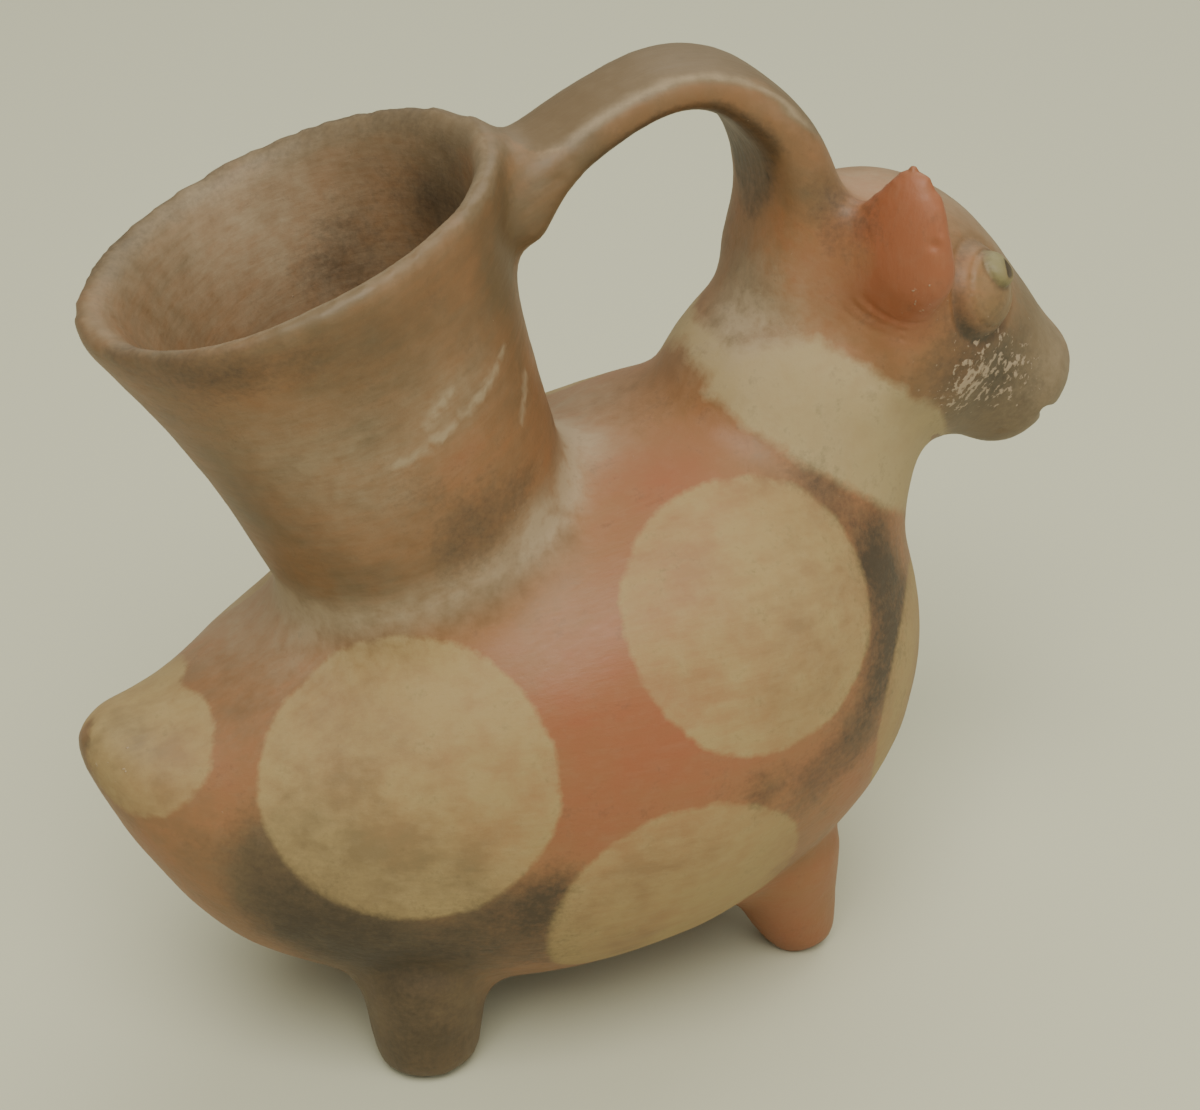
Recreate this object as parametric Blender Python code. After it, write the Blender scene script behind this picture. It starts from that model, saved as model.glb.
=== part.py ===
"""Effigy bottle: a hollow fired-clay animal on four stub legs.

A flaring spout rises over its rump, and a strap handle joins the spout's lip to the back of its head.
It is one fused piece of pottery, open only at the spout's mouth.

Metres, +X towards the head, +Y to the animal's left, +Z up. The origin is on the ground, under the
middle of the bottle.
"""

import math

import bmesh
import bpy
import numpy as np

# The body, a lying egg that rises to the chest in front and is drawn out to a pointed tail behind
BODY_LENGTH = 0.1555
BODY_WIDTH = 0.097
BODY_HEIGHT = 0.103
BELLY_CLEARANCE = 0.006
TAIL_TIP_RADIUS = 0.007
WALL = 0.0055

# The spout, a trumpet that leans back over the tail
SPOUT_LENGTH = 0.0673
SPOUT_LEAN = math.radians(19)
SPOUT_WAIST_RADIUS = 0.0268
SPOUT_LIP_RADIUS = 0.0374
MOUTH_ROLL = math.radians(4.2)
LIP_THICKNESS = 0.0055

# The strap handle
HANDLE_WIDTH = 0.0192
HANDLE_THICKNESS = 0.0085
HANDLE_RISE = 0.0316
HANDLE_BELOW_LIP = 0.0145
HANDLE_TO_THE_RIGHT = 0.004

# The neck and head
NECK_WIDTH = 0.062
HEAD_LENGTH = 0.0588
HEAD_WIDTH = 0.048
HEAD_HEIGHT = 0.0484
HEAD_SLOPE = math.radians(30)
EAR_HEIGHT = 0.0275
EAR_WIDTH = 0.020
EAR_THICKNESS = 0.009
EAR_TURN = math.radians(35)
RIGHT_EAR_ROOT = math.radians(14.5)
LEFT_EAR_ROOT = math.radians(9)
EYE_PLACE = 0.365
EYE_TURN = math.radians(36)
EYE_RADIUS = 0.0064
EYE_BULGE = 0.0026
EYELID_THICKNESS = 0.0012
IRIS_RADIUS = 0.0028
PUPIL_RADIUS = 0.0014
MOUTH_GAPE = 0.0016
MOUTH_DEPTH = 0.009

# The legs, blunt cones that spread into the belly
REAR_FOOT_RADIUS = 0.0088
REAR_THIGH_RADIUS = 0.0122
FRONT_FOOT_RADIUS = 0.006
FRONT_THIGH_RADIUS = 0.0122
LEG_HEIGHT = 0.022
REAR_LEG_SPREAD = 0.045
FRONT_LEG_SPREAD = 0.040

# How finely the clay is modelled
VOXEL = 0.0016
SMOOTHING_PASSES = 6
SIDES = 48
TRIANGLES = 7400

CLAY_COLOUR = (0.36, 0.13, 0.055, 1.0)
CLAY_ROUGHNESS = 0.55

LEFTWARD = np.array([0.0, 1.0, 0.0])


def smooth_through(knots, values, at):
    """A cubic between neighbouring knots, whose slope at a knot follows the values on both sides of it."""
    knots = np.asarray(knots, float)
    values = np.asarray(values, float)
    slopes = np.gradient(values, knots, axis=0)
    low = np.clip(np.searchsorted(knots, at) - 1, 0, len(knots) - 2)
    span = knots[low + 1] - knots[low]
    t = (at - knots[low]) / span
    if values.ndim > 1:
        span, t = span[:, None], t[:, None]
    return (
        (1 + 2 * t) * (1 - t) ** 2 * values[low]
        + t * (1 - t) ** 2 * span * slopes[low]
        + t**2 * (3 - 2 * t) * values[low + 1]
        + t**2 * (t - 1) * span * slopes[low + 1]
    )


def shares(count):
    """Shares from 0 to 1 that lie closer together towards both ends, where a form rounds off."""
    return (1 - np.cos(np.linspace(0, math.pi, count))) / 2


def rounded_off(share, start, end):
    """1 along a form, falling to 0 as a quarter ellipse over its first and last stretch."""
    from_start = np.clip(1 - share / start, 0, 1)
    from_end = np.clip(1 - (1 - share) / end, 0, 1)
    return np.sqrt(1 - from_start**2) * np.sqrt(1 - from_end**2)


def loft(name, path, half_widths, half_heights, across=LEFTWARD, squareness=2.0, across_path=True):
    """A closed skin of rings, with a pole at each end. The rings stand upright or across the path.

    A squareness for each ring squares only its upper half.
    """
    along = np.gradient(path, axis=0) if across_path else np.tile((1.0, 0.0, 0.0), (len(path), 1))
    along /= np.linalg.norm(along, axis=1, keepdims=True)
    upward = np.cross(along, across)
    upward /= np.linalg.norm(upward, axis=1, keepdims=True)
    sideways = np.cross(upward, along)
    turn = np.linspace(0, 2 * math.pi, SIDES, endpoint=False)
    square = np.broadcast_to(np.reshape(squareness, (-1, 1)), (len(path), SIDES))
    if np.ndim(squareness):
        square = np.where(np.sin(turn) > 0, square, 2.0)
    cosine = np.sign(np.cos(turn)) * np.abs(np.cos(turn)) ** (2 / square)
    sine = np.sign(np.sin(turn)) * np.abs(np.sin(turn)) ** (2 / square)
    mesh = bmesh.new()
    rings = []
    for i in range(1, len(path) - 1):
        points = (
            path[i]
            + np.outer(cosine[i] * half_widths[i], sideways[i])
            + np.outer(sine[i] * half_heights[i], upward[i])
        )
        rings.append([mesh.verts.new(point) for point in points])
    for ring, beyond in zip(rings, rings[1:]):
        for j in range(SIDES):
            k = (j + 1) % SIDES
            mesh.faces.new((ring[j], ring[k], beyond[k], beyond[j]))
    for ring, tip in ((rings[0], path[0]), (rings[-1], path[-1])):
        pole = mesh.verts.new(tip)
        for j in range(SIDES):
            mesh.faces.new((ring[j], ring[(j + 1) % SIDES], pole))
    bmesh.ops.recalc_face_normals(mesh, faces=mesh.faces)
    return new_object(name, mesh)


def new_object(name, mesh):
    data = bpy.data.meshes.new(name)
    mesh.to_mesh(data)
    mesh.free()
    made = bpy.data.objects.new(name, data)
    bpy.context.scene.collection.objects.link(made)
    return made


def in_side_view(x, z, y=0.0):
    """Points of the bottle's side view, as rows of x, y and z."""
    return np.stack([x, np.full_like(x, y), z], axis=1)


def apply_modifiers(target):
    """Gives the object the mesh that its modifiers make, and takes them off."""
    bpy.context.view_layer.update()
    graph = bpy.context.evaluated_depsgraph_get()
    made = bpy.data.meshes.new_from_object(target.evaluated_get(graph))
    target.modifiers.clear()
    target.data = made


def fuse(name, forms):
    """The clay of overlapping forms as one skin."""
    mesh = bmesh.new()
    for form in forms:
        mesh.from_mesh(form.data)
        bpy.data.objects.remove(form)
    fused = new_object(name, mesh)
    remesh(fused)
    apply_modifiers(fused)
    return fused


def remesh(target):
    change = target.modifiers.new("one skin", "REMESH")
    change.mode = "VOXEL"
    change.voxel_size = VOXEL


def boolean(target, other, operation):
    change = target.modifiers.new(operation.lower(), "BOOLEAN")
    change.operation = operation
    change.object = other
    apply_modifiers(target)
    bpy.data.objects.remove(other)


# The body, in shares of its length from the tail's tip
BODY_KNOTS = (0.0, 0.05, 0.10, 0.22, 0.335, 0.465, 0.615, 0.745, 1.0)
BODY_MIDDLES = (0.595, 0.521, 0.462, 0.424, 0.422, 0.446, 0.494, 0.541, 0.557)
BODY_HEIGHTS = (0.118, 0.264, 0.403, 0.632, 0.754, 0.884, 0.973, 1.0, 1.0)
BODY_WIDTHS = (0.124, 0.268, 0.412, 0.67, 0.825, 0.948, 1.0, 0.97, 0.95)
BACK_SQUARENESS = (2.0, 2.0, 2.0, 2.2, 2.8, 2.9, 2.4, 2.1, 2.0)
CHEST_ROUNDING = 0.328
TAIL_X = -0.617 * BODY_LENGTH


def body_point(share, sideways=0.0, upwards=0.0):
    """A point in the body, from its middle line, in shares of its half width and half height."""
    middle = smooth_through(BODY_KNOTS, BODY_MIDDLES, share)
    return np.array(
        [
            TAIL_X + BODY_LENGTH * share,
            BODY_WIDTH / 2 * smooth_through(BODY_KNOTS, BODY_WIDTHS, share) * sideways,
            BELLY_CLEARANCE
            + BODY_HEIGHT * middle
            + BODY_HEIGHT / 2 * smooth_through(BODY_KNOTS, BODY_HEIGHTS, share) * upwards,
        ]
    )


def body(inset):
    """The body, or the hollow that a wall leaves in it."""
    length = BODY_LENGTH - inset
    share = shares(64) * length / BODY_LENGTH
    path = in_side_view(
        TAIL_X + BODY_LENGTH * share,
        BELLY_CLEARANCE + BODY_HEIGHT * smooth_through(BODY_KNOTS, BODY_MIDDLES, share),
    )
    front = (CHEST_ROUNDING * BODY_LENGTH - inset) / length
    end = rounded_off(share * BODY_LENGTH / length, TAIL_TIP_RADIUS / BODY_LENGTH, front)
    half_width = (BODY_WIDTH / 2 * smooth_through(BODY_KNOTS, BODY_WIDTHS, share) - inset) * end
    half_height = (BODY_HEIGHT / 2 * smooth_through(BODY_KNOTS, BODY_HEIGHTS, share) - inset) * end
    square = smooth_through(BODY_KNOTS, BACK_SQUARENESS, share)
    if inset:
        keep = share > 0.12
        path, half_width, half_height, square = path[keep], half_width[keep], half_height[keep], square[keep]
    return loft("body", path, half_width, half_height, squareness=square, across_path=False)


# The spout stands on the body's back
SPOUT_DIRECTION = np.array([-math.sin(SPOUT_LEAN), 0.0, math.cos(SPOUT_LEAN)])
SPOUT_FOOT = body_point(0.419, upwards=0.955)


def spout_radius(distance):
    """The spout's outer radius at a distance along its axis from its foot."""
    rise = np.clip(distance / SPOUT_LENGTH, 0, 1)
    return SPOUT_WAIST_RADIUS + (SPOUT_LIP_RADIUS - SPOUT_WAIST_RADIUS) * rise**2.35


def lip(side):
    """The rounded edge's distances along the spout and its reach across the wall."""
    curl = np.linspace(0, math.pi / 2, 9)[1:]
    half = 0.45 * LIP_THICKNESS
    return SPOUT_LENGTH - half * (1 - np.sin(curl)), side * half * (1 - np.cos(curl))


def spout():
    over, inward = lip(-1)
    low = np.linspace(-0.6 * SPOUT_WAIST_RADIUS, over[0] - (over[1] - over[0]), 40)
    distance = np.concatenate([low[:1], low, over, over[-1:]])
    radius = spout_radius(distance)
    radius[len(low) + 1 : -1] += inward
    return turned("spout", SPOUT_FOOT + np.outer(distance, SPOUT_DIRECTION), radius)


def spout_root():
    """The clay heaped round the spout's foot."""
    drop = np.linspace(0, 1, 20)
    distance = 0.34 * SPOUT_WAIST_RADIUS - 0.75 * SPOUT_WAIST_RADIUS * np.concatenate([[0.0], drop, [1.0]])
    radius = spout_radius(distance)
    radius[1:-1] += 0.24 * SPOUT_WAIST_RADIUS * drop**2
    return turned("spout root", SPOUT_FOOT + np.outer(distance, SPOUT_DIRECTION), radius)


def bore():
    """The space inside the spout, flared at the top so that the lip is round."""
    over, outward = lip(1)
    low = np.linspace(-0.9 * SPOUT_WAIST_RADIUS, over[0] - (over[1] - over[0]), 40)
    above = SPOUT_LENGTH + LIP_THICKNESS
    distance = np.concatenate([low[:1], low, over, [above, above]])
    radius = spout_radius(distance) - WALL
    radius += (WALL - LIP_THICKNESS) * np.clip(distance / SPOUT_LENGTH, 0, 1)
    radius[len(low) + 1 : -2] += outward
    radius[-2:] = radius[-3]
    return turned("bore", SPOUT_FOOT + np.outer(distance, SPOUT_DIRECTION), radius)


def turned(name, path, radius):
    """A round form on the spout's axis, flat at both ends, whose right side rises towards the mouth."""
    along = path[-1] - path[0]
    along /= np.linalg.norm(along)
    upward = np.cross(along, LEFTWARD)
    turn = np.linspace(0, 2 * math.pi, 2 * SIDES, endpoint=False)
    mesh = bmesh.new()
    rings = []
    for centre, r in zip(path[1:-1], radius[1:-1]):
        points = centre + r * (np.outer(np.cos(turn), LEFTWARD) + np.outer(np.sin(turn), upward))
        rise = np.clip((centre - SPOUT_FOOT) @ along / SPOUT_LENGTH, 0, 1)
        points -= np.outer(points[:, 1] * math.tan(MOUTH_ROLL) * rise**2, along)
        rings.append([mesh.verts.new(point) for point in points])
    for ring, beyond in zip(rings, rings[1:]):
        for j in range(len(turn)):
            k = (j + 1) % len(turn)
            mesh.faces.new((ring[j], ring[k], beyond[k], beyond[j]))
    for ring in (rings[0], rings[-1]):
        mesh.faces.new(ring)
    bmesh.ops.recalc_face_normals(mesh, faces=mesh.faces)
    return new_object(name, mesh)


# The head, in shares of its length from the nape to the snout
HEAD_KNOTS = (0.0, 0.205, 0.426, 0.636, 0.822, 1.0)
HEAD_ARCHES = (0.0, 0.96, 1.0, 0.87, 0.52, 0.0)
HEAD_HEIGHTS = (0.988, 1.0, 0.896, 0.685, 0.553, 0.55)
HEAD_WIDTHS = (0.875, 1.0, 0.917, 0.708, 0.604, 0.52)
HEAD_ARCH = 0.1 * HEAD_HEIGHT
NAPE = body_point(0.85, upwards=0.86) + np.array([0.0, 0.0, 0.34 * HEAD_HEIGHT])
HEAD_FORWARD = np.array([math.cos(HEAD_SLOPE), 0.0, -math.sin(HEAD_SLOPE)])
HEAD_UPWARD = np.array([math.sin(HEAD_SLOPE), 0.0, math.cos(HEAD_SLOPE)])


def head_line(share):
    arch = HEAD_ARCH * smooth_through(HEAD_KNOTS, HEAD_ARCHES, share)
    return NAPE + np.outer(share * HEAD_LENGTH, HEAD_FORWARD) + np.outer(arch, HEAD_UPWARD)


def head_halves(share):
    """The head's half width and half height."""
    end = rounded_off(share, 0.2, 0.16)
    half_width = HEAD_WIDTH / 2 * smooth_through(HEAD_KNOTS, HEAD_WIDTHS, share) * end
    return half_width, HEAD_HEIGHT / 2 * smooth_through(HEAD_KNOTS, HEAD_HEIGHTS, share) * end


def head(inset):
    share = shares(40)
    path = head_line(share)
    half_width, half_height = head_halves(share)
    if inset:
        keep = (share > 0.2) & (share < 0.8) & (half_height > inset * 1.6)
        path, half_width, half_height = path[keep], half_width[keep], half_height[keep]
    return loft("head", path, half_width - inset, half_height - inset, squareness=2.15)


def on_head(share, side, turn):
    """A point on the head's skin, and the directions outward, forward and upward along the skin there."""

    def skin(at, angle):
        half_width, half_height = head_halves(np.array([at]))
        across = side * half_width[0] * math.cos(angle) ** 0.93 * LEFTWARD
        return head_line(np.array([at]))[0] + across + half_height[0] * math.sin(angle) ** 0.93 * HEAD_UPWARD

    here = skin(share, turn)
    forward = skin(share + 0.02, turn) - here
    upward = skin(share, turn + 0.02) - here
    outward = np.cross(forward, upward) * -side
    outward /= np.linalg.norm(outward)
    forward /= np.linalg.norm(forward)
    return here, outward, forward, np.cross(outward, forward) * -side


def neck(inset):
    """A short thick neck, from inside the chest up into the head."""
    share = shares(30)
    base = body_point(0.76, upwards=0.12)
    knots = (0.0, 0.41, 0.68, 1.0)
    line = smooth_through(knots, ((0.0, 0.0), (0.343, 0.407), (0.567, 0.702), (1.0, 1.0)), share)
    top = head_line(np.array([0.21]))[0] - base
    reach = NECK_WIDTH / 2 * smooth_through(knots, (1.064, 0.83, 0.806, 0.694), share)
    breadth = NECK_WIDTH / 2 * smooth_through(knots, (1.0, 0.935, 0.774, 0.677), share)
    path = in_side_view(base[0] + top[0] * line[:, 0], base[2] + top[2] * line[:, 1])
    end = rounded_off(share, 0.2, 0.2)
    if inset:
        keep = (share > 0.1) & (share < 0.8)
        path, reach, breadth = path[keep], reach[keep], breadth[keep]
        end = rounded_off(share[keep] / 0.8, 0.1, 0.3)
    return loft("neck", path, (breadth - inset) * end, (reach - inset) * end)


def ear_line(side, share):
    root = on_head(0.13, side, LEFT_EAR_ROOT if side > 0 else RIGHT_EAR_ROOT)[0]
    tip = root + np.array([0.0, 0.0, EAR_HEIGHT])
    return root + np.outer(share, tip - root) - np.outer(np.sin(math.pi * share), (0.1 * EAR_WIDTH, 0, 0))


def ear(side):
    """A thick rounded leaf that faces forward and outward."""
    share = shares(24)
    end = rounded_off(share, 0.35, 0.62)
    across = np.array([math.sin(EAR_TURN), side * math.cos(EAR_TURN), 0.0])
    thick = EAR_THICKNESS / 2 * end * (1.15 - 0.3 * share)
    return loft("ear", ear_line(side, share), EAR_WIDTH / 2 * end, thick, across=across)


def ear_hollow(side):
    """What is scooped out of the ear's front."""
    share = shares(20)
    middle = ear_line(side, np.array([0.62]))[0]
    facing = np.array([math.cos(EAR_TURN), -side * math.sin(EAR_TURN), 0.0])
    middle = middle + facing * 0.62 * EAR_THICKNESS
    rise = np.array([0.0, side * 0.05, 1.0]) * 0.36 * EAR_HEIGHT
    path = middle + np.outer(2 * share - 1, rise)
    across = np.array([math.sin(EAR_TURN), side * math.cos(EAR_TURN), 0.0])
    end = np.sqrt(np.clip(1 - (2 * share - 1) ** 2, 0, 1))
    return loft("ear hollow", path, 0.36 * EAR_WIDTH * end, 0.5 * EAR_THICKNESS * end, across=across)


def eye(side):
    """A bulging eyeball, set in the side of the brow."""
    here, outward, forward, upward = on_head(EYE_PLACE, side, EYE_TURN)
    share = shares(20)
    end = np.sqrt(np.clip(1 - (2 * share - 1) ** 2, 0, 1))
    path = here + np.outer(2 * share - 1, upward * EYE_RADIUS)
    return loft("eye", path, EYE_RADIUS * end, EYE_BULGE * end, across=forward)


def ring(name, centre, axis, radius, thickness):
    """A ring of clay, as thick as it is high."""
    axis = axis / np.linalg.norm(axis)
    first = np.cross(axis, (0.0, 0.0, 1.0))
    first /= np.linalg.norm(first)
    second = np.cross(axis, first)
    mesh = bmesh.new()
    around = np.linspace(0, 2 * math.pi, 28, endpoint=False)
    across = np.linspace(0, 2 * math.pi, 8, endpoint=False)
    rings = []
    for angle in around:
        out = math.cos(angle) * first + math.sin(angle) * second
        points = centre + radius * out + thickness * (
            np.outer(np.cos(across), out) + np.outer(np.sin(across), axis)
        )
        rings.append([mesh.verts.new(point) for point in points])
    for i, here in enumerate(rings):
        beyond = rings[(i + 1) % len(rings)]
        for j in range(len(across)):
            k = (j + 1) % len(across)
            mesh.faces.new((here[j], beyond[j], beyond[k], here[k]))
    bmesh.ops.recalc_face_normals(mesh, faces=mesh.faces)
    return new_object(name, mesh)


def disc(name, centre, axis, radius, thickness):
    """A short round peg, half its thickness to each side of the centre."""
    axis = axis / np.linalg.norm(axis)
    first = np.cross(axis, (0.0, 0.0, 1.0))
    first /= np.linalg.norm(first)
    second = np.cross(axis, first)
    turn = np.linspace(0, 2 * math.pi, 20, endpoint=False)
    edge = centre + radius * (np.outer(np.cos(turn), first) + np.outer(np.sin(turn), second))
    mesh = bmesh.new()
    low = [mesh.verts.new(point) for point in edge - axis * thickness / 2]
    high = [mesh.verts.new(point) for point in edge + axis * thickness / 2]
    for j in range(len(turn)):
        k = (j + 1) % len(turn)
        mesh.faces.new((low[j], low[k], high[k], high[j]))
    mesh.faces.new(low)
    mesh.faces.new(high)
    bmesh.ops.recalc_face_normals(mesh, faces=mesh.faces)
    return new_object(name, mesh)


def mouth():
    """A flat lens that cuts the slit between the lips."""
    share = shares(16)
    end = np.sqrt(np.clip(1 - (2 * share - 1) ** 2, 0, 1))
    snout = head_line(np.array([1.0]))[0] + HEAD_UPWARD * 0.03 * HEAD_HEIGHT
    half_width = 0.42 * HEAD_WIDTH
    path = snout + np.outer(2 * share - 1, half_width * LEFTWARD)
    return loft("mouth", path, MOUTH_DEPTH * end, MOUTH_GAPE / 2 * end, across=HEAD_FORWARD)


# The handle's line, in shares of the way from the spout to the head
HANDLE_KNOTS = (0.0, 0.13, 0.262, 0.382, 0.477, 0.582, 0.693, 0.812, 0.92, 1.0)
HANDLE_WAYS = (0.0, 0.183, 0.385, 0.583, 0.73, 0.86, 0.955, 0.99, 0.97, 0.88)
HANDLE_RISES = (0.0, 0.4, 0.72, 0.94, 0.98, 0.88, 0.65, 0.3, 0.015, -0.22)


def handle():
    share = shares(60)
    below = SPOUT_LENGTH - HANDLE_BELOW_LIP
    wall = spout_radius(below) - HANDLE_THICKNESS / 2
    start = SPOUT_FOOT + below * SPOUT_DIRECTION
    start = start + wall * np.array([math.cos(SPOUT_LEAN), 0.0, math.sin(SPOUT_LEAN)])
    finish = NAPE + np.array([0.0, 0.0, 0.155 * HEAD_HEIGHT])
    way = smooth_through(HANDLE_KNOTS, HANDLE_WAYS, share)
    line = start + np.outer(way, finish - start)
    line[:, 2] += HANDLE_RISE * smooth_through(HANDLE_KNOTS, HANDLE_RISES, share)
    line[:, 1] = -HANDLE_TO_THE_RIGHT * np.clip(1 - share / 0.65, 0, 1)
    near_spout = np.clip(1 - share / 0.23, 0, 1) ** 2
    near_head = np.clip((share - 0.61) / 0.31, 0, 1) ** 1.5
    past_crest = smooth_through((0.0, 0.42, 0.68, 1.0), (0.0, 0.0, 1.0, 1.0), share)
    end = rounded_off(share, 0.04, 0.04)
    half_width = HANDLE_WIDTH / 2 * (1 + 0.2 * near_spout + 0.4 * past_crest + 0.3 * near_head) * end
    half_height = HANDLE_THICKNESS / 2 * (1 + 1.2 * near_spout + 0.3 * past_crest + 0.9 * near_head) * end
    return loft("handle", line, half_width, half_height, squareness=2.7)


# Each pair of legs: its place in shares of the body's length, its spread, radii and lean
LEGS = (
    (0.331, REAR_LEG_SPREAD, REAR_FOOT_RADIUS, REAR_THIGH_RADIUS, 0.0),
    (0.828, FRONT_LEG_SPREAD, FRONT_FOOT_RADIUS, FRONT_THIGH_RADIUS, 1.0),
)


def leg(place, spread, foot_radius, thigh_radius, lean):
    """A blunt cone that spreads into the belly, and leans back by a share of what it widens."""
    share = shares(30)
    z = 1.35 * LEG_HEIGHT * (1 - share) - 0.1 * LEG_HEIGHT * share
    wider = (thigh_radius - foot_radius) * np.clip(z / LEG_HEIGHT, 0, 1.2) ** 0.9
    radius = (foot_radius + wider) * rounded_off(share, 0.25, 0.2)
    x = TAIL_X + BODY_LENGTH * place - lean * wider
    path = np.stack([x, np.full_like(z, spread / 2), z], axis=1)
    return loft("leg", path, radius, radius)


def rub_joint(target, centre, axis, radius, reach, passes):
    """Rounds the clay into the hollow round a joint: a ring about an axis, out to a reach from the ring."""
    points = np.empty(len(target.data.vertices) * 3)
    target.data.vertices.foreach_get("co", points)
    away = points.reshape(-1, 3) - centre
    axis = axis / np.linalg.norm(axis)
    along = away @ axis
    beside = np.linalg.norm(away - np.outer(along, axis), axis=1) - radius
    weight = np.clip(1.5 - 1.5 * np.hypot(along, beside) / reach, 0, 1)
    group = target.vertex_groups.new(name="joint")
    for i in np.flatnonzero(weight):
        group.add([int(i)], float(weight[i]), "REPLACE")
    rub = target.modifiers.new("rubbed joint", "SMOOTH")
    rub.factor = 0.5
    rub.iterations = passes
    rub.vertex_group = "joint"
    apply_modifiers(target)
    target.vertex_groups.clear()


def rub_joints(target):
    around_spout = SPOUT_FOOT - 0.1 * SPOUT_WAIST_RADIUS * SPOUT_DIRECTION
    rub_joint(target, around_spout, SPOUT_DIRECTION, 1.1 * SPOUT_WAIST_RADIUS, 0.6 * SPOUT_WAIST_RADIUS, 40)
    neck_foot = body_point(0.8, upwards=0.62)
    neck_axis = NAPE - body_point(0.76)
    rub_joint(target, neck_foot, neck_axis, 0.95 * NECK_WIDTH / 2, 0.55 * NECK_WIDTH / 2, 30)
    handle_foot = NAPE + np.array([0.0, 0.0, 0.3 * HEAD_HEIGHT])
    rub_joint(target, handle_foot, np.array([0.0, 0.0, 1.0]), 0.6 * HANDLE_WIDTH, 1.1 * HANDLE_WIDTH, 50)
    across = np.cross(LEFTWARD, SPOUT_DIRECTION)
    below_handle = SPOUT_LENGTH - HANDLE_BELOW_LIP - 0.45 * HANDLE_WIDTH
    corner = SPOUT_FOOT + below_handle * SPOUT_DIRECTION + spout_radius(below_handle) * across
    rub_joint(target, corner, SPOUT_DIRECTION, 0, 0.6 * HANDLE_WIDTH, 60)
    for place, spread, foot_radius, thigh_radius, lean in LEGS:
        x = TAIL_X + BODY_LENGTH * place - lean * (thigh_radius - foot_radius) / 2
        for side in (-1, 1):
            thigh = np.array([x, side * spread / 2, 0.72 * LEG_HEIGHT])
            rub_joint(target, thigh, np.array([0.0, 0.0, 1.0]), thigh_radius, 0.7 * thigh_radius, 12)


def below_ground():
    mesh = bmesh.new()
    bmesh.ops.create_cube(mesh, size=BODY_LENGTH * 2)
    bmesh.ops.translate(mesh, verts=mesh.verts, vec=(0, 0, -BODY_LENGTH))
    return new_object("ground", mesh)


def fired_clay():
    made = bpy.data.materials.new("red slip earthenware")
    made.use_nodes = True
    shader = made.node_tree.nodes["Principled BSDF"]
    shader.inputs["Base Color"].default_value = CLAY_COLOUR
    shader.inputs["Roughness"].default_value = CLAY_ROUGHNESS
    shader.inputs["Metallic"].default_value = 0.0
    return made


def main():
    for old in list(bpy.data.objects):
        bpy.data.objects.remove(old)
    clay = [body(0), spout(), spout_root(), neck(0), head(0), handle()]
    inside = [body(WALL), bore(), neck(WALL), head(WALL)]
    for side in (-1, 1):
        for place, spread, *form in LEGS:
            clay.append(leg(place, side * spread, *form))
        clay.append(ear(side))
        clay.append(eye(side))
        inside.append(ear_hollow(side))
    bottle = fuse("effigy_bottle", clay)
    rub_joints(bottle)
    boolean(bottle, fuse("cavity", inside), "DIFFERENCE")
    remesh(bottle)
    smooth = bottle.modifiers.new("rubbed joints", "SMOOTH")
    smooth.factor = 0.5
    smooth.iterations = SMOOTHING_PASSES
    apply_modifiers(bottle)
    fewer = bottle.modifiers.new("fewer faces", "DECIMATE")
    fewer.ratio = TRIANGLES / (2 * len(bottle.data.polygons))
    apply_modifiers(bottle)
    for side in (-1, 1):
        here, outward, forward, upward = on_head(EYE_PLACE, side, EYE_TURN)
        boolean(bottle, ring("eyelid", here, outward, EYE_RADIUS, EYELID_THICKNESS), "UNION")
        gaze = outward + 0.35 * forward + 0.2 * upward
        iris = here + 0.7 * EYE_BULGE * outward + EYE_RADIUS * (0.3 * forward + 0.48 * upward)
        boolean(bottle, disc("iris", iris, gaze, IRIS_RADIUS, 2 * EYELID_THICKNESS), "UNION")
        pupil = iris + EYELID_THICKNESS * gaze
        boolean(bottle, disc("pupil", pupil, gaze, PUPIL_RADIUS, 2.5 * EYELID_THICKNESS), "DIFFERENCE")
    boolean(bottle, mouth(), "DIFFERENCE")
    boolean(bottle, below_ground(), "DIFFERENCE")
    bottle.data.materials.clear()
    bottle.data.materials.append(fired_clay())
    points = np.empty(len(bottle.data.vertices) * 3)
    bottle.data.vertices.foreach_get("co", points)
    points = points.reshape(-1, 3)
    points[:, :2] -= (points[:, :2].min(axis=0) + points[:, :2].max(axis=0)) / 2
    bottle.data.vertices.foreach_set("co", points.ravel())
    bottle.data.shade_smooth()


main()
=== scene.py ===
"""The looks of a hollow earthenware bottle shaped as a standing animal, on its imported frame.

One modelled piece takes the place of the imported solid: the same forms at a finer grain, with rubbed joints, tool
marks, chips, and the brushed, burnished, stained and worn slips of a hand-built pot.
"""

import math

import bmesh
import bpy
import numpy as np
from mathutils import Matrix, Vector


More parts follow.
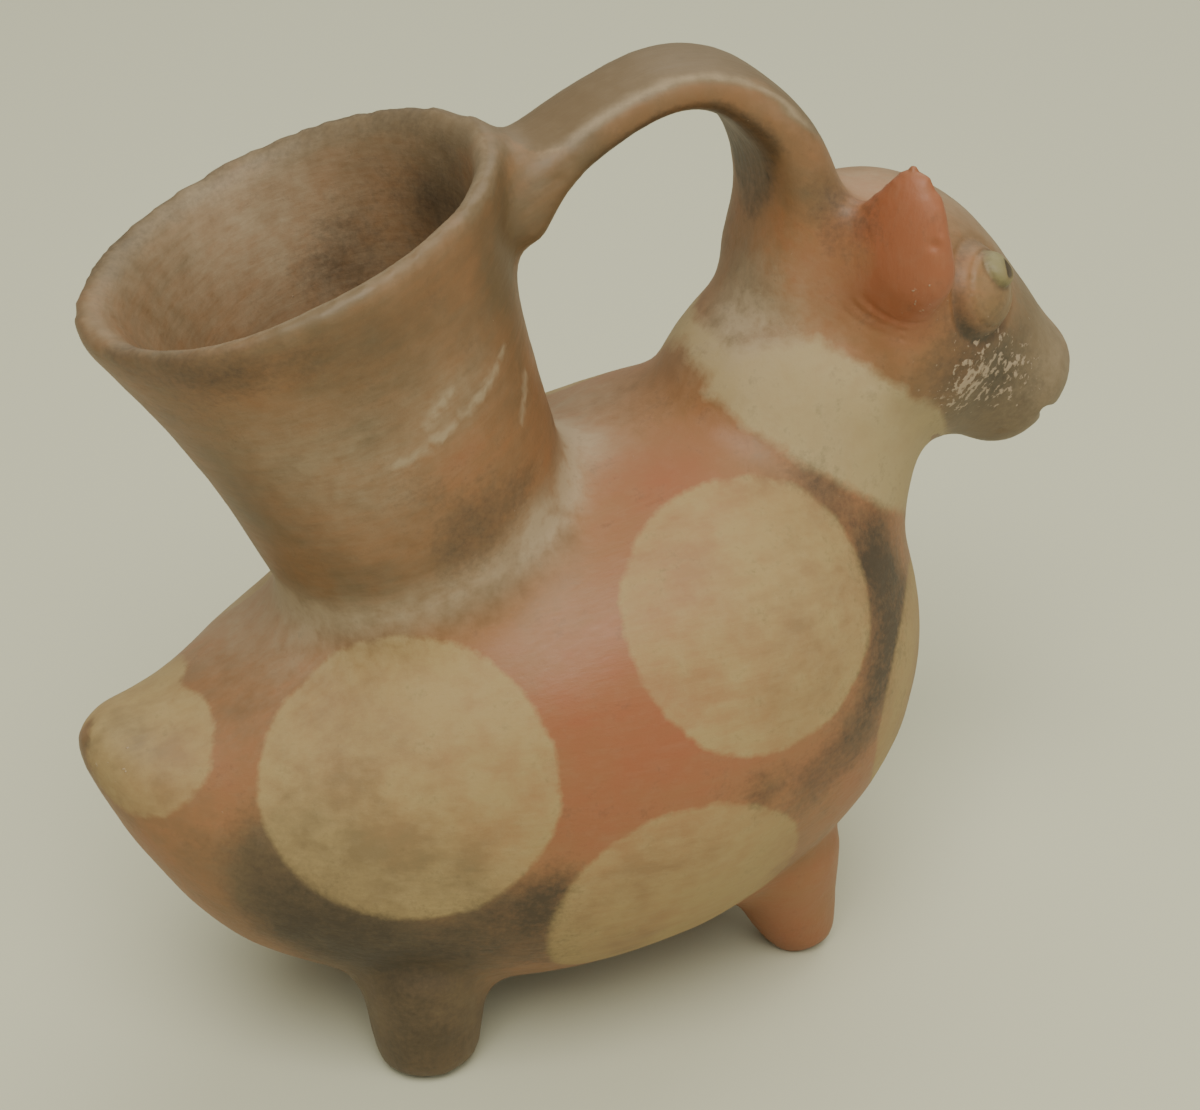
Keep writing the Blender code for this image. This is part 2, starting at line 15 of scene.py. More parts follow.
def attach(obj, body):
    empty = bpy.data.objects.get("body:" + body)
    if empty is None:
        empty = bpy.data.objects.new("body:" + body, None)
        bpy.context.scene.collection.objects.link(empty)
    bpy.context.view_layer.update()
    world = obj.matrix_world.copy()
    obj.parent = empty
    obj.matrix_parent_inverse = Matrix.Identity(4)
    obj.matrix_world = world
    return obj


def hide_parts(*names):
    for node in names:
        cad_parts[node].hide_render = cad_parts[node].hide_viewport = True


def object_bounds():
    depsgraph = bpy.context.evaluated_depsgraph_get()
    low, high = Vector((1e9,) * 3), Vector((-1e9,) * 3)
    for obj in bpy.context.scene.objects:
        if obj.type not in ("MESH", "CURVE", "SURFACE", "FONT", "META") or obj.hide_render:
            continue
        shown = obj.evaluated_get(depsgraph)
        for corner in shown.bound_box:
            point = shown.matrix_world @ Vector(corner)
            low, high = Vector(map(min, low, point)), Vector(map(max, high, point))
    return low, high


bl_info = {
    "name": "Effigy Bottle",
    "version": (1, 0, 0),
    "blender": (4, 5, 0),
    "location": "3D View > Sidebar > Effigy Bottle",
    "description": "Models and finishes a slip-painted animal bottle on its packed frame",
    "category": "Add Mesh",
}

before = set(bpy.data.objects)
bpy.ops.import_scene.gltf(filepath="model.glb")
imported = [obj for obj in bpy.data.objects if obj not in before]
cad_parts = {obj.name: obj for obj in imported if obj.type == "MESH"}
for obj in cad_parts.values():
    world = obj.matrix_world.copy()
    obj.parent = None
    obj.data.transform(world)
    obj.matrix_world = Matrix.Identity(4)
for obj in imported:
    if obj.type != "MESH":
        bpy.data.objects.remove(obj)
CAD_LOW, CAD_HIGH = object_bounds()

LEFTWARD = np.array([0.0, 1.0, 0.0])
UPRIGHT = np.array([0.0, 0.0, 1.0])
MM = 0.001
# Points round each ring of a form
SIDES = 72


# Sizes and colours


def linear(code):
    """An sRGB hex colour as linear red, green, blue and alpha."""
    parts = [int(code[i : i + 2], 16) / 255 for i in (1, 3, 5)]
    return *(p / 12.92 if p <= 0.04045 else ((p + 0.055) / 1.055) ** 2.4 for p in parts), 1.0


def length(name, description, metres):
    return bpy.props.FloatProperty(
        name=name, description=description, default=metres, min=0.0, precision=4, unit="LENGTH"
    )


def angle(name, description, degrees):
    return bpy.props.FloatProperty(
        name=name, description=description, default=math.radians(degrees), subtype="ANGLE"
    )


def share(name, description, value):
    return bpy.props.FloatProperty(
        name=name, description=description, default=value, min=0.0, max=1.0, subtype="FACTOR"
    )


def power(name, description, value):
    return bpy.props.FloatProperty(name=name, description=description, default=value, min=0.0)


def colour(name, description, code):
    return bpy.props.FloatVectorProperty(
        name=name, description=description, default=linear(code), size=4, min=0.0, max=1.0, subtype="COLOR"
    )


class BottleForm(bpy.types.PropertyGroup):
    """The bottle's sizes."""

    body_length: length("Body length", "From the tail's tip to the chest", 0.1555)
    tail_reach: length("Tail reach", "From the middle of the bottle back to the tail's tip", 0.09402)
    body_width: length("Body width", "Across the body at its widest", CAD_HIGH.y - CAD_LOW.y)
    body_height: length("Body height", "From the belly to the back", 0.103)
    belly_clearance: length("Belly clearance", "From the ground to the belly", 0.006)
    tail_tip_radius: length("Tail tip radius", "How blunt the tail's tip is", 0.007)
    wall: length("Wall", "How thick the clay is", 0.0055)
    spout_length: length("Spout length", "Along the spout's axis, from the back to the lip", 0.0673)
    spout_lean: angle("Spout lean", "How far the spout leans back", 19)
    spout_waist_radius: length("Spout waist radius", "Outer radius at the spout's foot", 0.0268)
    spout_lip_radius: length("Spout lip radius", "Outer radius at the lip", 0.0374)
    mouth_roll: angle("Mouth roll", "How far the mouth's right side is tipped up", 4.2)
    lip_thickness: length("Lip thickness", "Across the rounded lip", 0.0055)
    handle_width: length("Handle width", "Across the strap", 0.0192)
    handle_thickness: length("Handle thickness", "Through the strap", 0.0085)
    handle_rise: length("Handle rise", "From the line between its ends to its top", 0.0316)
    handle_below_lip: length("Handle below lip", "Along the spout, from the lip to the strap", 0.0145)
    handle_to_the_right: length("Handle to the right", "How far the strap's upper end is off the middle", 0.004)
    neck_width: length("Neck width", "Across the neck's foot", 0.062)
    head_length: length("Head length", "From the nape to the snout", 0.0588)
    head_width: length("Head width", "Across the cheeks", 0.048)
    head_height: length("Head height", "Through the crown and throat", 0.0484)
    head_slope: angle("Head slope", "How far the snout points down", 30)
    ear_height: length("Ear height", "From root to tip", 0.0275)
    ear_width: length("Ear width", "Across the leaf", 0.020)
    ear_thickness: length("Ear thickness", "Through the leaf", 0.009)
    ear_turn: angle("Ear turn", "How far the ears turn outwards from facing forward", 35)
    right_ear_root: angle("Right ear root", "How far up the side of the head the right ear is rooted", 14.5)
    left_ear_root: angle("Left ear root", "How far up the side of the head the left ear is rooted", 9)
    eye_place: share("Eye place", "Along the head, from the nape", 0.365)
    eye_turn: angle("Eye turn", "How far up the side of the head the eye sits", 36)
    eye_radius: length("Eye radius", "From the eye's middle to its lid", 0.0064)
    eye_bulge: length("Eye bulge", "How far the eyeball stands out", 0.0026)
    eyelid_thickness: length("Eyelid thickness", "Half the width of the ring round the eye", 0.0012)
    iris_radius: length("Iris radius", "Radius of the small pellet on the eye", 0.0028)
    pupil_radius: length("Pupil radius", "Radius of the hole in the pellet", 0.0014)
    mouth_gape: length("Mouth gape", "Between the lips", 0.0016)
    mouth_depth: length("Mouth depth", "How far the slit runs back from the snout", 0.009)
    rear_foot_radius: length("Rear foot radius", "At the ground", 0.0088)
    rear_thigh_radius: length("Rear thigh radius", "Where the leg meets the belly", 0.0122)
    front_foot_radius: length("Front foot radius", "At the ground", 0.006)
    front_thigh_radius: length("Front thigh radius", "Where the leg meets the belly", 0.0122)
    leg_height: length("Leg height", "From the ground to the thigh", 0.022)
    rear_leg_spread: length("Rear leg spread", "Between the middles of the rear legs", 0.045)
    front_leg_spread: length("Front leg spread", "Between the middles of the front legs", 0.040)
    grain: length("Modelling grain", "Size of the small cubes that the forms are fused in", 0.0015)


class SlipColours(bpy.types.PropertyGroup):
    """The colours of the slips, the clay and what lies on them."""

    red_slip: colour("Red slip", "The burnished slip over most of the body", "#8b6241")
    orange_slip: colour("Orange slip", "Where the red slip fired brightest", "#93573a")
    # The brown slip is also painted shade low on the rump and on the rear leg
    brown_slip: colour("Brown slip", "Where the red slip fired dull, as on the spout", "#67533b")
    cream_slip: colour("Cream slip", "The painted discs", "#9f885e")
    pale_slip: colour("Pale slip", "The painted collar", "#a79779")
    # The soot colour is also painted shade: under the strap, under the belly, low on the rump and the rear leg, and in
    # the mouth's slit, the pupils and the creases round the eyes
    soot: colour("Soot", "Black-brown stains from the firing", "#3c3023")
    haze: colour("Haze", "Grey-pink wear on ridges and in hollows", "#a39078")
    crust: colour("Crust", "Pale flecks of burial crust", "#ab9580")
    eye: colour("Eye", "The pale slip on the eyes", "#7f7551")


class StudioSetting(bpy.types.PropertyGroup):
    """The floor and the lights."""

    floor_colour: colour("Floor colour", "Pale paper under the bottle", "#c6c5b2")
    light_colour: colour("Light colour", "Of all three lights", "#f7f6e6")
    room_colour: colour("Room colour", "Of the light from all sides", "#f0f1dc")
    window_power: power("Window light", "Power of the window light", 26.0)
    front_power: power("Front light", "Power of the soft light in front", 5.72)
    ceiling_power: power("Ceiling light", "Power of the broad light above", 40.0)
    fill_strength: power("Fill", "Strength of the light from all sides", 0.5)


# Curves and skins


def smooth_through(knots, values, at):
    """A cubic between neighbouring knots, whose slope at a knot follows the values on both sides of it."""
    knots = np.asarray(knots, float)
    values = np.asarray(values, float)
    slopes = np.gradient(values, knots, axis=0)
    low = np.clip(np.searchsorted(knots, at) - 1, 0, len(knots) - 2)
    span = knots[low + 1] - knots[low]
    t = (at - knots[low]) / span
    if values.ndim > 1:
        span, t = span[:, None], t[:, None]
    return (
        (1 + 2 * t) * (1 - t) ** 2 * values[low]
        + t * (1 - t) ** 2 * span * slopes[low]
        + t**2 * (3 - 2 * t) * values[low + 1]
        + t**2 * (t - 1) * span * slopes[low + 1]
    )


def shares(count):
    """Shares from 0 to 1, closer together towards both ends: half of 1 minus the cosine of an even turn."""
    return (1 - np.cos(np.linspace(0, math.pi, count))) / 2


def rounded_off(at, start, end):
    """1 along a form, falling to 0 as a quarter ellipse over its first and last stretch."""
    from_start = np.clip(1 - at / start, 0, 1)
    from_end = np.clip(1 - (1 - at) / end, 0, 1)
    return np.sqrt(1 - from_start**2) * np.sqrt(1 - from_end**2)


def ramp(low, high, value):
    """0 below low, 1 above high, and a smooth step between."""
    t = np.clip((value - low) / (high - low), 0, 1)
    return t * t * (3 - 2 * t)


def unit(vectors):
    return vectors / np.linalg.norm(vectors, axis=-1, keepdims=True)


def in_side_view(x, z):
    return np.stack([x, np.zeros_like(x), z], axis=1)


def swept(path, half_widths, half_heights, across=LEFTWARD, squareness=2.0, upright=False):
    """A grid of rings along a path.

    A ring's point at a turn is the path's point, plus the half width times the turn's cosine across the path, plus
    the half height times its sine above it. Both are raised to 2 over the squareness, which squares a ring off. A
    squareness for each ring squares only its upper half. Upright rings stand across the bottle's length.
    """
    along = np.tile((1.0, 0.0, 0.0), (len(path), 1)) if upright else unit(np.gradient(path, axis=0))
    upward = unit(np.cross(along, across))
    sideways = np.cross(upward, along)
    turn = np.linspace(0, 2 * math.pi, SIDES, endpoint=False)
    square = np.broadcast_to(np.reshape(squareness, (-1, 1)), (len(path), SIDES))
    if np.ndim(squareness):
        square = np.where(np.sin(turn) > 0, square, 2.0)
    cosine = np.sign(np.cos(turn)) * np.abs(np.cos(turn)) ** (2 / square)
    sine = np.sign(np.sin(turn)) * np.abs(np.sin(turn)) ** (2 / square)
    return (
        path[:, None]
        + (half_widths[:, None] * cosine)[..., None] * sideways[:, None]
        + (half_heights[:, None] * sine)[..., None] * upward[:, None]
    )


def turned(path, radius):
    """A grid of round rings about a straight axis: a profile of radii, turned like a pot on a wheel."""
    along = unit(path[-1] - path[0])
    upward = np.cross(along, LEFTWARD)
    turn = np.linspace(0, 2 * math.pi, 2 * SIDES, endpoint=False)
    ring = np.outer(np.cos(turn), LEFTWARD) + np.outer(np.sin(turn), upward)
    return path[:, None] + radius[:, None, None] * ring


def new_object(name, data):
    made = bpy.data.objects.new(name, data)
    bpy.context.scene.collection.objects.link(made)
    return made


def skins(name, grids):
    """One mesh of closed skins: a face between each four neighbours of a grid, and one over each end ring."""
    points, faces, first = [], [], 0
    for grid in grids:
        rings, around = grid.shape[:2]
        index = first + np.arange(rings * around).reshape(rings, around)
        beside = np.roll(index, -1, axis=1)
        quads = np.stack([index[:-1], beside[:-1], beside[1:], index[1:]], axis=-1).reshape(-1, 4)
        faces += quads.tolist() + [index[0, ::-1].tolist(), index[-1].tolist()]
        points.append(grid.reshape(-1, 3))
        first += rings * around
    mesh = bpy.data.meshes.new(name)
    mesh.from_pydata(np.concatenate(points), [], faces)
    return new_object(name, mesh)


def apply_modifiers(target):
    bpy.context.view_layer.update()
    graph = bpy.context.evaluated_depsgraph_get()
    made = bpy.data.meshes.new_from_object(target.evaluated_get(graph))
    target.modifiers.clear()
    target.data = made


def fuse(target, grain):
    """Makes overlapping skins one skin, of faces about as large as the grain."""
    change = target.modifiers.new("one skin", "REMESH")
    change.mode = "VOXEL"
    change.voxel_size = grain
    apply_modifiers(target)


def read(elements, key):
    """The vectors that a mesh's vertices, normals or faces hold under a key."""
    values = np.empty(len(elements) * 3, np.float32)
    elements.foreach_get(key, values)
    return values.reshape(-1, 3).astype(float)


def write_points(mesh, points):
    mesh.vertices.foreach_set("co", points.astype(np.float32).ravel())
    mesh.update()


def rub(mesh, weight, passes):
    """Moves each point half its weight of the way to the mean of its neighbours, over and over."""
    points = read(mesh.vertices, "co")
    ends = np.empty(len(mesh.edges) * 2, np.int32)
    mesh.edges.foreach_get("vertices", ends)
    near, far = ends.reshape(-1, 2).T
    touched = (weight[near] > 0) | (weight[far] > 0)
    near, far = near[touched], far[touched]
    count = np.maximum(np.bincount(near, minlength=len(points)) + np.bincount(far, minlength=len(points)), 1)
    for _ in range(passes):
        total = np.stack(
            [
                np.bincount(near, points[far, k], len(points)) + np.bincount(far, points[near, k], len(points))
                for k in range(3)
            ],
            axis=1,
        )
        points += 0.5 * weight[:, None] * (total / count[:, None] - points)
    write_points(mesh, points)


def lumps(points, size, seed):
    """Soft hills and hollows from -1 to 1: seeded values on a cubic lattice, eased between its corners."""
    cell = points / size
    low = np.floor(cell).astype(int)
    t = cell - low
    t = t * t * (3 - 2 * t)
    low -= low.min(axis=0)
    table = np.random.default_rng(seed).uniform(-1, 1, low.max(axis=0) + 2)
    value = np.zeros(len(points))
    for corner in np.ndindex(2, 2, 2):
        value += np.prod(np.where(corner, t, 1 - t), axis=1) * table[tuple((low + corner).T)]
    return value


# The forms. Each is the same as in the part's solid, with the space inside it where a wall is taken off.

BODY_KNOTS = (0.0, 0.05, 0.10, 0.22, 0.335, 0.465, 0.615, 0.745, 1.0)
BODY_MIDDLES = (0.595, 0.521, 0.462, 0.424, 0.422, 0.446, 0.494, 0.541, 0.557)
BODY_HEIGHTS = (0.118, 0.264, 0.403, 0.632, 0.754, 0.884, 0.973, 1.0, 1.0)
BODY_WIDTHS = (0.124, 0.268, 0.412, 0.67, 0.825, 0.948, 1.0, 0.97, 0.95)
BACK_SQUARENESS = (2.0, 2.0, 2.0, 2.2, 2.8, 2.9, 2.4, 2.1, 2.0)
CHEST_ROUNDING = 0.328
# Where the space inside the body starts, so that the tail's tip is solid
SOLID_TAIL = 0.12
# Where the spout, the nape and the neck stand, and where the face begins, as body_point takes them
SPOUT_PLACE = (0.419, 0.955)
NAPE_PLACE = (0.85, 0.86)
NECK_PLACE = (0.76, 0.12)
FACE_PLACE = (0.93, 0.6)


def body_point(form, at, upwards=0.0):
    """A point on the body's middle plane, in shares of its length and of its half height."""
    middle = smooth_through(BODY_KNOTS, BODY_MIDDLES, at)
    rise = smooth_through(BODY_KNOTS, BODY_HEIGHTS, at) / 2 * upwards
    return np.array(
        [
            form.body_length * at - form.tail_reach,
            0.0,
            form.belly_clearance + form.body_height * (middle + rise),
        ]
    )


def body(form, inset=0.0):
    """Upright rings along a bent middle line, whose halves swell through knots and round off at both ends."""
    reach = 1 - inset / form.body_length
    at = shares(96) * reach
    path = in_side_view(
        form.body_length * at - form.tail_reach,
        form.belly_clearance + form.body_height * smooth_through(BODY_KNOTS, BODY_MIDDLES, at),
    )
    front = (CHEST_ROUNDING - 1 + reach) / reach
    end = rounded_off(at / reach, form.tail_tip_radius / form.body_length, front)
    half_width = (form.body_width / 2 * smooth_through(BODY_KNOTS, BODY_WIDTHS, at) - inset) * end
    half_height = (form.body_height / 2 * smooth_through(BODY_KNOTS, BODY_HEIGHTS, at) - inset) * end
    square = smooth_through(BODY_KNOTS, BACK_SQUARENESS, at)
    keep = (at > SOLID_TAIL) | (inset == 0.0)
    return swept(path[keep], half_width[keep], half_height[keep], squareness=square[keep], upright=True)


# The power of the spout's flare, and the heap round its foot in shares of the waist's radius: how far up it
# starts, how far it comes down and how far it spreads
FLARE = 2.35
HEAP = (0.34, 0.75, 0.24)


def spout_axis(form):
    """The spout's foot and its direction."""
    lean = form.spout_lean
    return body_point(form, *SPOUT_PLACE), np.array([-math.sin(lean), 0.0, math.cos(lean)])


def spout_radius(form, distance):
    """Outer radius: the waist's, plus what the lip is wider times the share of the way up to the flare's power."""
    rise = np.clip(distance / form.spout_length, 0, 1)
    return form.spout_waist_radius + (form.spout_lip_radius - form.spout_waist_radius) * rise**FLARE


def on_spout(form, distance, radius):
    """Rings turned on the spout's axis, whose right side rises with the square of the share of the way up."""
    foot, up = spout_axis(form)
    grid = turned(foot + np.outer(distance, up), radius)
    rise = np.clip(distance / form.spout_length, 0, 1) ** 2
    return grid - (grid[..., 1] * math.tan(form.mouth_roll) * rise[:, None])[..., None] * up


def lip_curl(form):
    """Over the last of the wall, a quarter circle's distances up the spout and across the wall."""
    curl = np.linspace(0, math.pi / 2, 9)[1:]
    half = 0.45 * form.lip_thickness
    return form.spout_length - half * (1 - np.sin(curl)), half * (1 - np.cos(curl))


def spout(form):
    over, curl = lip_curl(form)
    distance = np.concatenate([np.linspace(-0.6 * form.spout_waist_radius, over[0] - 0.0003, 50), over])
    radius = spout_radius(form, distance)
    radius[-len(curl) :] -= curl
    return on_spout(form, distance, radius)


def spout_root(form):
    """The clay heaped round the spout's foot: it spreads with the square of the way down."""
    top, height, spread = HEAP
    drop = np.linspace(0, 1, 24)
    distance = form.spout_waist_radius * (top - height * drop)
    radius = spout_radius(form, distance) + spread * form.spout_waist_radius * drop**2
    return on_spout(form, distance, radius)


def bore(form):
    """The space in the spout, a wall inside its skin, curling outwards at the lip."""
    over, curl = lip_curl(form)
    distance = np.concatenate([np.linspace(-0.9 * form.spout_waist_radius, over[0] - 0.0003, 50), over])
    thickness = form.wall + (form.lip_thickness - form.wall) * np.clip(distance / form.spout_length, 0, 1)
    radius = spout_radius(form, distance) - thickness
    radius[-len(curl) :] += curl
    distance = np.append(distance, form.spout_length + form.lip_thickness)
    return on_spout(form, distance, np.append(radius, radius[-1]))


HEAD_KNOTS = (0.0, 0.205, 0.426, 0.636, 0.822, 1.0)
HEAD_ARCHES = (0.0, 0.96, 1.0, 0.87, 0.52, 0.0)
HEAD_HEIGHTS = (0.988, 1.0, 0.896, 0.685, 0.553, 0.55)
HEAD_WIDTHS = (0.875, 1.0, 0.917, 0.708, 0.604, 0.52)
# Where along the head the neck ends and the ears are rooted
NECK_TOP = 0.21
EAR_PLACE = 0.13


def head_axes(form):
    """The nape, and the head's forward and upward directions."""
    nape = body_point(form, *NAPE_PLACE) + 0.34 * form.head_height * UPRIGHT
    cosine, sine = math.cos(form.head_slope), math.sin(form.head_slope)
    return nape, np.array([cosine, 0.0, -sine]), np.array([sine, 0.0, cosine])


def head_line(form, at):
    nape, forward, upward = head_axes(form)
    arch = 0.1 * form.head_height * smooth_through(HEAD_KNOTS, HEAD_ARCHES, at)
    return nape + np.outer(at * form.head_length, forward) + np.outer(arch, upward)


def head_halves(form, at):
    end = rounded_off(at, 0.2, 0.16)
    half_width = form.head_width / 2 * smooth_through(HEAD_KNOTS, HEAD_WIDTHS, at) * end
    return half_width, form.head_height / 2 * smooth_through(HEAD_KNOTS, HEAD_HEIGHTS, at) * end


def head(form, inset=0.0):
    at = shares(60)
    half_width, half_height = head_halves(form, at)
    keep = (inset == 0.0) | ((at > 0.2) & (at < 0.8) & (half_height > inset * 1.6))
    path, half_width, half_height = head_line(form, at)[keep], half_width[keep], half_height[keep]
    return swept(path, half_width - inset, half_height - inset, squareness=2.15)


def on_head(form, at, side, turn):
    """A point on the head's skin, and the directions outward, forward and upward along the skin there."""

    def skin(at, turn):
        half_width, half_height = head_halves(form, np.array([at]))
        across = side * half_width[0] * math.cos(turn) ** 0.93 * LEFTWARD
        upward = half_height[0] * math.sin(turn) ** 0.93 * head_axes(form)[2]
        return head_line(form, np.array([at]))[0] + across + upward

    here = skin(at, turn)
    forward = unit(skin(at + 0.02, turn) - here)
    outward = unit(np.cross(forward, skin(at, turn + 0.02) - here)) * -side
    return here, outward, forward, np.cross(outward, forward) * -side


NECK_KNOTS = (0.0, 0.41, 0.68, 1.0)
NECK_WAYS = ((0.0, 0.0), (0.343, 0.407), (0.567, 0.702), (1.0, 1.0))
NECK_DEPTHS = (1.064, 0.83, 0.806, 0.694)
NECK_WIDTHS = (1.0, 0.935, 0.774, 0.677)


def neck(form, inset=0.0):
    """Rings across a bent line from inside the chest up into the head, deeper than they are wide."""
    at = shares(40)
    base = body_point(form, *NECK_PLACE)
    line = smooth_through(NECK_KNOTS, NECK_WAYS, at)
    top = head_line(form, np.array([NECK_TOP]))[0] - base
    reach = form.neck_width / 2 * smooth_through(NECK_KNOTS, NECK_DEPTHS, at)
    breadth = form.neck_width / 2 * smooth_through(NECK_KNOTS, NECK_WIDTHS, at)
    path = in_side_view(base[0] + top[0] * line[:, 0], base[2] + top[2] * line[:, 1])
    end = rounded_off(at, 0.2, 0.2)
    if inset:
        keep = (at > 0.1) & (at < 0.8)
        path, reach, breadth = path[keep], reach[keep], breadth[keep]
        end = rounded_off(at[keep] / 0.8, 0.1, 0.3)
    return swept(path, (breadth - inset) * end, (reach - inset) * end)


def ear_line(form, side, at):
    root = on_head(form, EAR_PLACE, side, form.left_ear_root if side > 0 else form.right_ear_root)[0]
    tip = root + form.ear_height * UPRIGHT
    bow = np.outer(np.sin(math.pi * at), (0.1 * form.ear_width, 0, 0))
    return root + np.outer(at, tip - root) - bow


def ear(form, side):
    """A thick leaf: flat rings up a bowed line, rounded off slowly towards the tip."""
    at = shares(40)
    end = rounded_off(at, 0.35, 0.62)
    across = np.array([math.sin(form.ear_turn), side * math.cos(form.ear_turn), 0.0])
    thick = form.ear_thickness / 2 * end * (1.15 - 0.3 * at)
    return swept(ear_line(form, side, at), form.ear_width / 2 * end, thick, across=across)


def ear_hollow(form, side):
    """An ellipsoid, scooped out of the ear's front."""
    at = shares(30)
    facing = np.array([math.cos(form.ear_turn), -side * math.sin(form.ear_turn), 0.0])
    middle = ear_line(form, side, np.array([0.62]))[0] + facing * 0.62 * form.ear_thickness
    path = middle + np.outer(2 * at - 1, np.array([0.0, side * 0.05, 1.0]) * 0.36 * form.ear_height)
    across = np.array([math.sin(form.ear_turn), side * math.cos(form.ear_turn), 0.0])
    end = np.sqrt(1 - (2 * at - 1) ** 2)
    return swept(path, 0.36 * form.ear_width * end, 0.5 * form.ear_thickness * end, across=across)


HANDLE_KNOTS = (0.0, 0.13, 0.262, 0.382, 0.477, 0.582, 0.693, 0.812, 0.92, 1.0)
HANDLE_WAYS = (0.0, 0.183, 0.385, 0.583, 0.73, 0.86, 0.955, 0.99, 0.97, 0.88)
HANDLE_RISES = (0.0, 0.4, 0.72, 0.94, 0.98, 0.88, 0.65, 0.3, 0.015, -0.22)


def handle_line(form, at):
    """The line between the strap's two ends, arched by a curve of rises."""
    foot, up = spout_axis(form)
    below = form.spout_length - form.handle_below_lip
    wall = spout_radius(form, below) - form.handle_thickness / 2
    start = foot + below * up
    start += wall * np.array([math.cos(form.spout_lean), 0.0, math.sin(form.spout_lean)])
    finish = head_axes(form)[0] + 0.155 * form.head_height * UPRIGHT
    line = start + np.outer(smooth_through(HANDLE_KNOTS, HANDLE_WAYS, at), finish - start)
    line[:, 2] += form.handle_rise * smooth_through(HANDLE_KNOTS, HANDLE_RISES, at)
    line[:, 1] = -form.handle_to_the_right * np.clip(1 - at / 0.65, 0, 1)
    return line


def handle(form):
    at = shares(90)
    near_spout = np.clip(1 - at / 0.23, 0, 1) ** 2
    near_head = np.clip((at - 0.61) / 0.31, 0, 1) ** 1.5
    past_crest = smooth_through((0.0, 0.42, 0.68, 1.0), (0.0, 0.0, 1.0, 1.0), at)
    end = rounded_off(at, 0.04, 0.04)
    half_width = form.handle_width / 2 * (1 + 0.2 * near_spout + 0.4 * past_crest + 0.3 * near_head) * end
    half_height = form.handle_thickness / 2 * (1 + 1.2 * near_spout + 0.3 * past_crest + 0.9 * near_head) * end
    return swept(handle_line(form, at), half_width, half_height, squareness=2.7)


def pairs_of_legs(form):
    """Each pair: its place in shares of the body's length, its spread, its two radii and its lean."""
    return (
        (0.331, form.rear_leg_spread, form.rear_foot_radius, form.rear_thigh_radius, 0.0),
        (0.828, form.front_leg_spread, form.front_foot_radius, form.front_thigh_radius, 1.0),
    )


def leg_line(form, place, spread, foot_radius, thigh_radius, lean, z):
    """The leg's middle line and its radius, which widens with nearly even speed from the foot to the thigh."""
    wider = (thigh_radius - foot_radius) * np.clip(z / form.leg_height, 0, 1.2) ** 0.9
    x = form.body_length * place - form.tail_reach - lean * wider
    return np.stack([x, np.full_like(z, spread / 2), z], axis=1), foot_radius + wider


def leg(form, *pair):
    """A blunt cone with a flat, softly edged foot, leaning back by a share of what it widens."""
    edge = 0.0018
    curl = np.linspace(0, math.pi / 2, 7)
    z = np.concatenate([edge * (1 - np.cos(curl)), np.linspace(edge, 1.35 * form.leg_height, 30)[1:]])
    path, radius = leg_line(form, *pair, z)
    radius = radius * rounded_off(z / z[-1], 1e-9, 0.25)
    radius[: len(curl)] -= edge * (1 - np.sin(curl))
    return swept(path, radius, radius)


def legs(form):
    return [
        leg(form, place, side * spread, *rest)
        for side in (-1, 1)
        for place, spread, *rest in pairs_of_legs(form)
    ]


# The clay, fused, hollowed and rubbed


def ring_weight(points, centre, axis, radius, reach):
    """1 on a ring about an axis, falling to 0 at a reach from it."""
    away = points - centre
    along = away @ unit(axis)
    beside = np.linalg.norm(away - np.outer(along, unit(axis)), axis=1) - radius
    return np.clip(1.5 - 1.5 * np.hypot(along, beside) / reach, 0, 1)


# Passes of rubbing are counted for faces of this size, and more of them are made on smaller faces
RUBBED_GRAIN = 0.0016
SKIN_PASSES = 5
LIP_PASSES = 8
# How far from the lip's middle line its rubbing reaches
LIP_REACH = 0.012
# The share of the faces inside the hollow that is kept
INSIDE_KEPT = 0.08


def rub_joints(form, mesh):
    """Rounds the clay into the hollows where the spout, the neck, the strap and the legs join the rest."""
    finer = (RUBBED_GRAIN / form.grain) ** 2
    points = read(mesh.vertices, "co")
    foot, up = spout_axis(form)
    nape = head_axes(form)[0]
    waist, half_neck, wide = form.spout_waist_radius, form.neck_width / 2, form.handle_width
    below = form.spout_length - form.handle_below_lip - 0.45 * wide
    corner = foot + below * up + spout_radius(form, below) * np.cross(LEFTWARD, up)
    # Each joint: its ring's middle, axis and radius, how far the rubbing reaches, and its passes
    joints = [
        (foot - 0.1 * waist * up, up, 1.1 * waist, 0.6 * waist, 40),
        (body_point(form, 0.8, 0.62), nape - body_point(form, 0.76), 0.95 * half_neck, 0.55 * half_neck, 30),
        (nape + 0.3 * form.head_height * UPRIGHT, UPRIGHT, 0.6 * wide, 1.1 * wide, 50),
        (corner, up, 0, 0.6 * wide, 60),
    ]
    for place, spread, foot_radius, thigh_radius, lean in pairs_of_legs(form):
        x = form.body_length * place - form.tail_reach - lean * (thigh_radius - foot_radius) / 2
        for side in (-1, 1):
            thigh = np.array([x, side * spread / 2, 0.72 * form.leg_height])
            joints.append((thigh, UPRIGHT, thigh_radius, 0.7 * thigh_radius, 12))
    for middle, axis, radius, reach, passes in joints:
        rub(mesh, ring_weight(points, middle, axis, radius, reach), int(passes * finer))


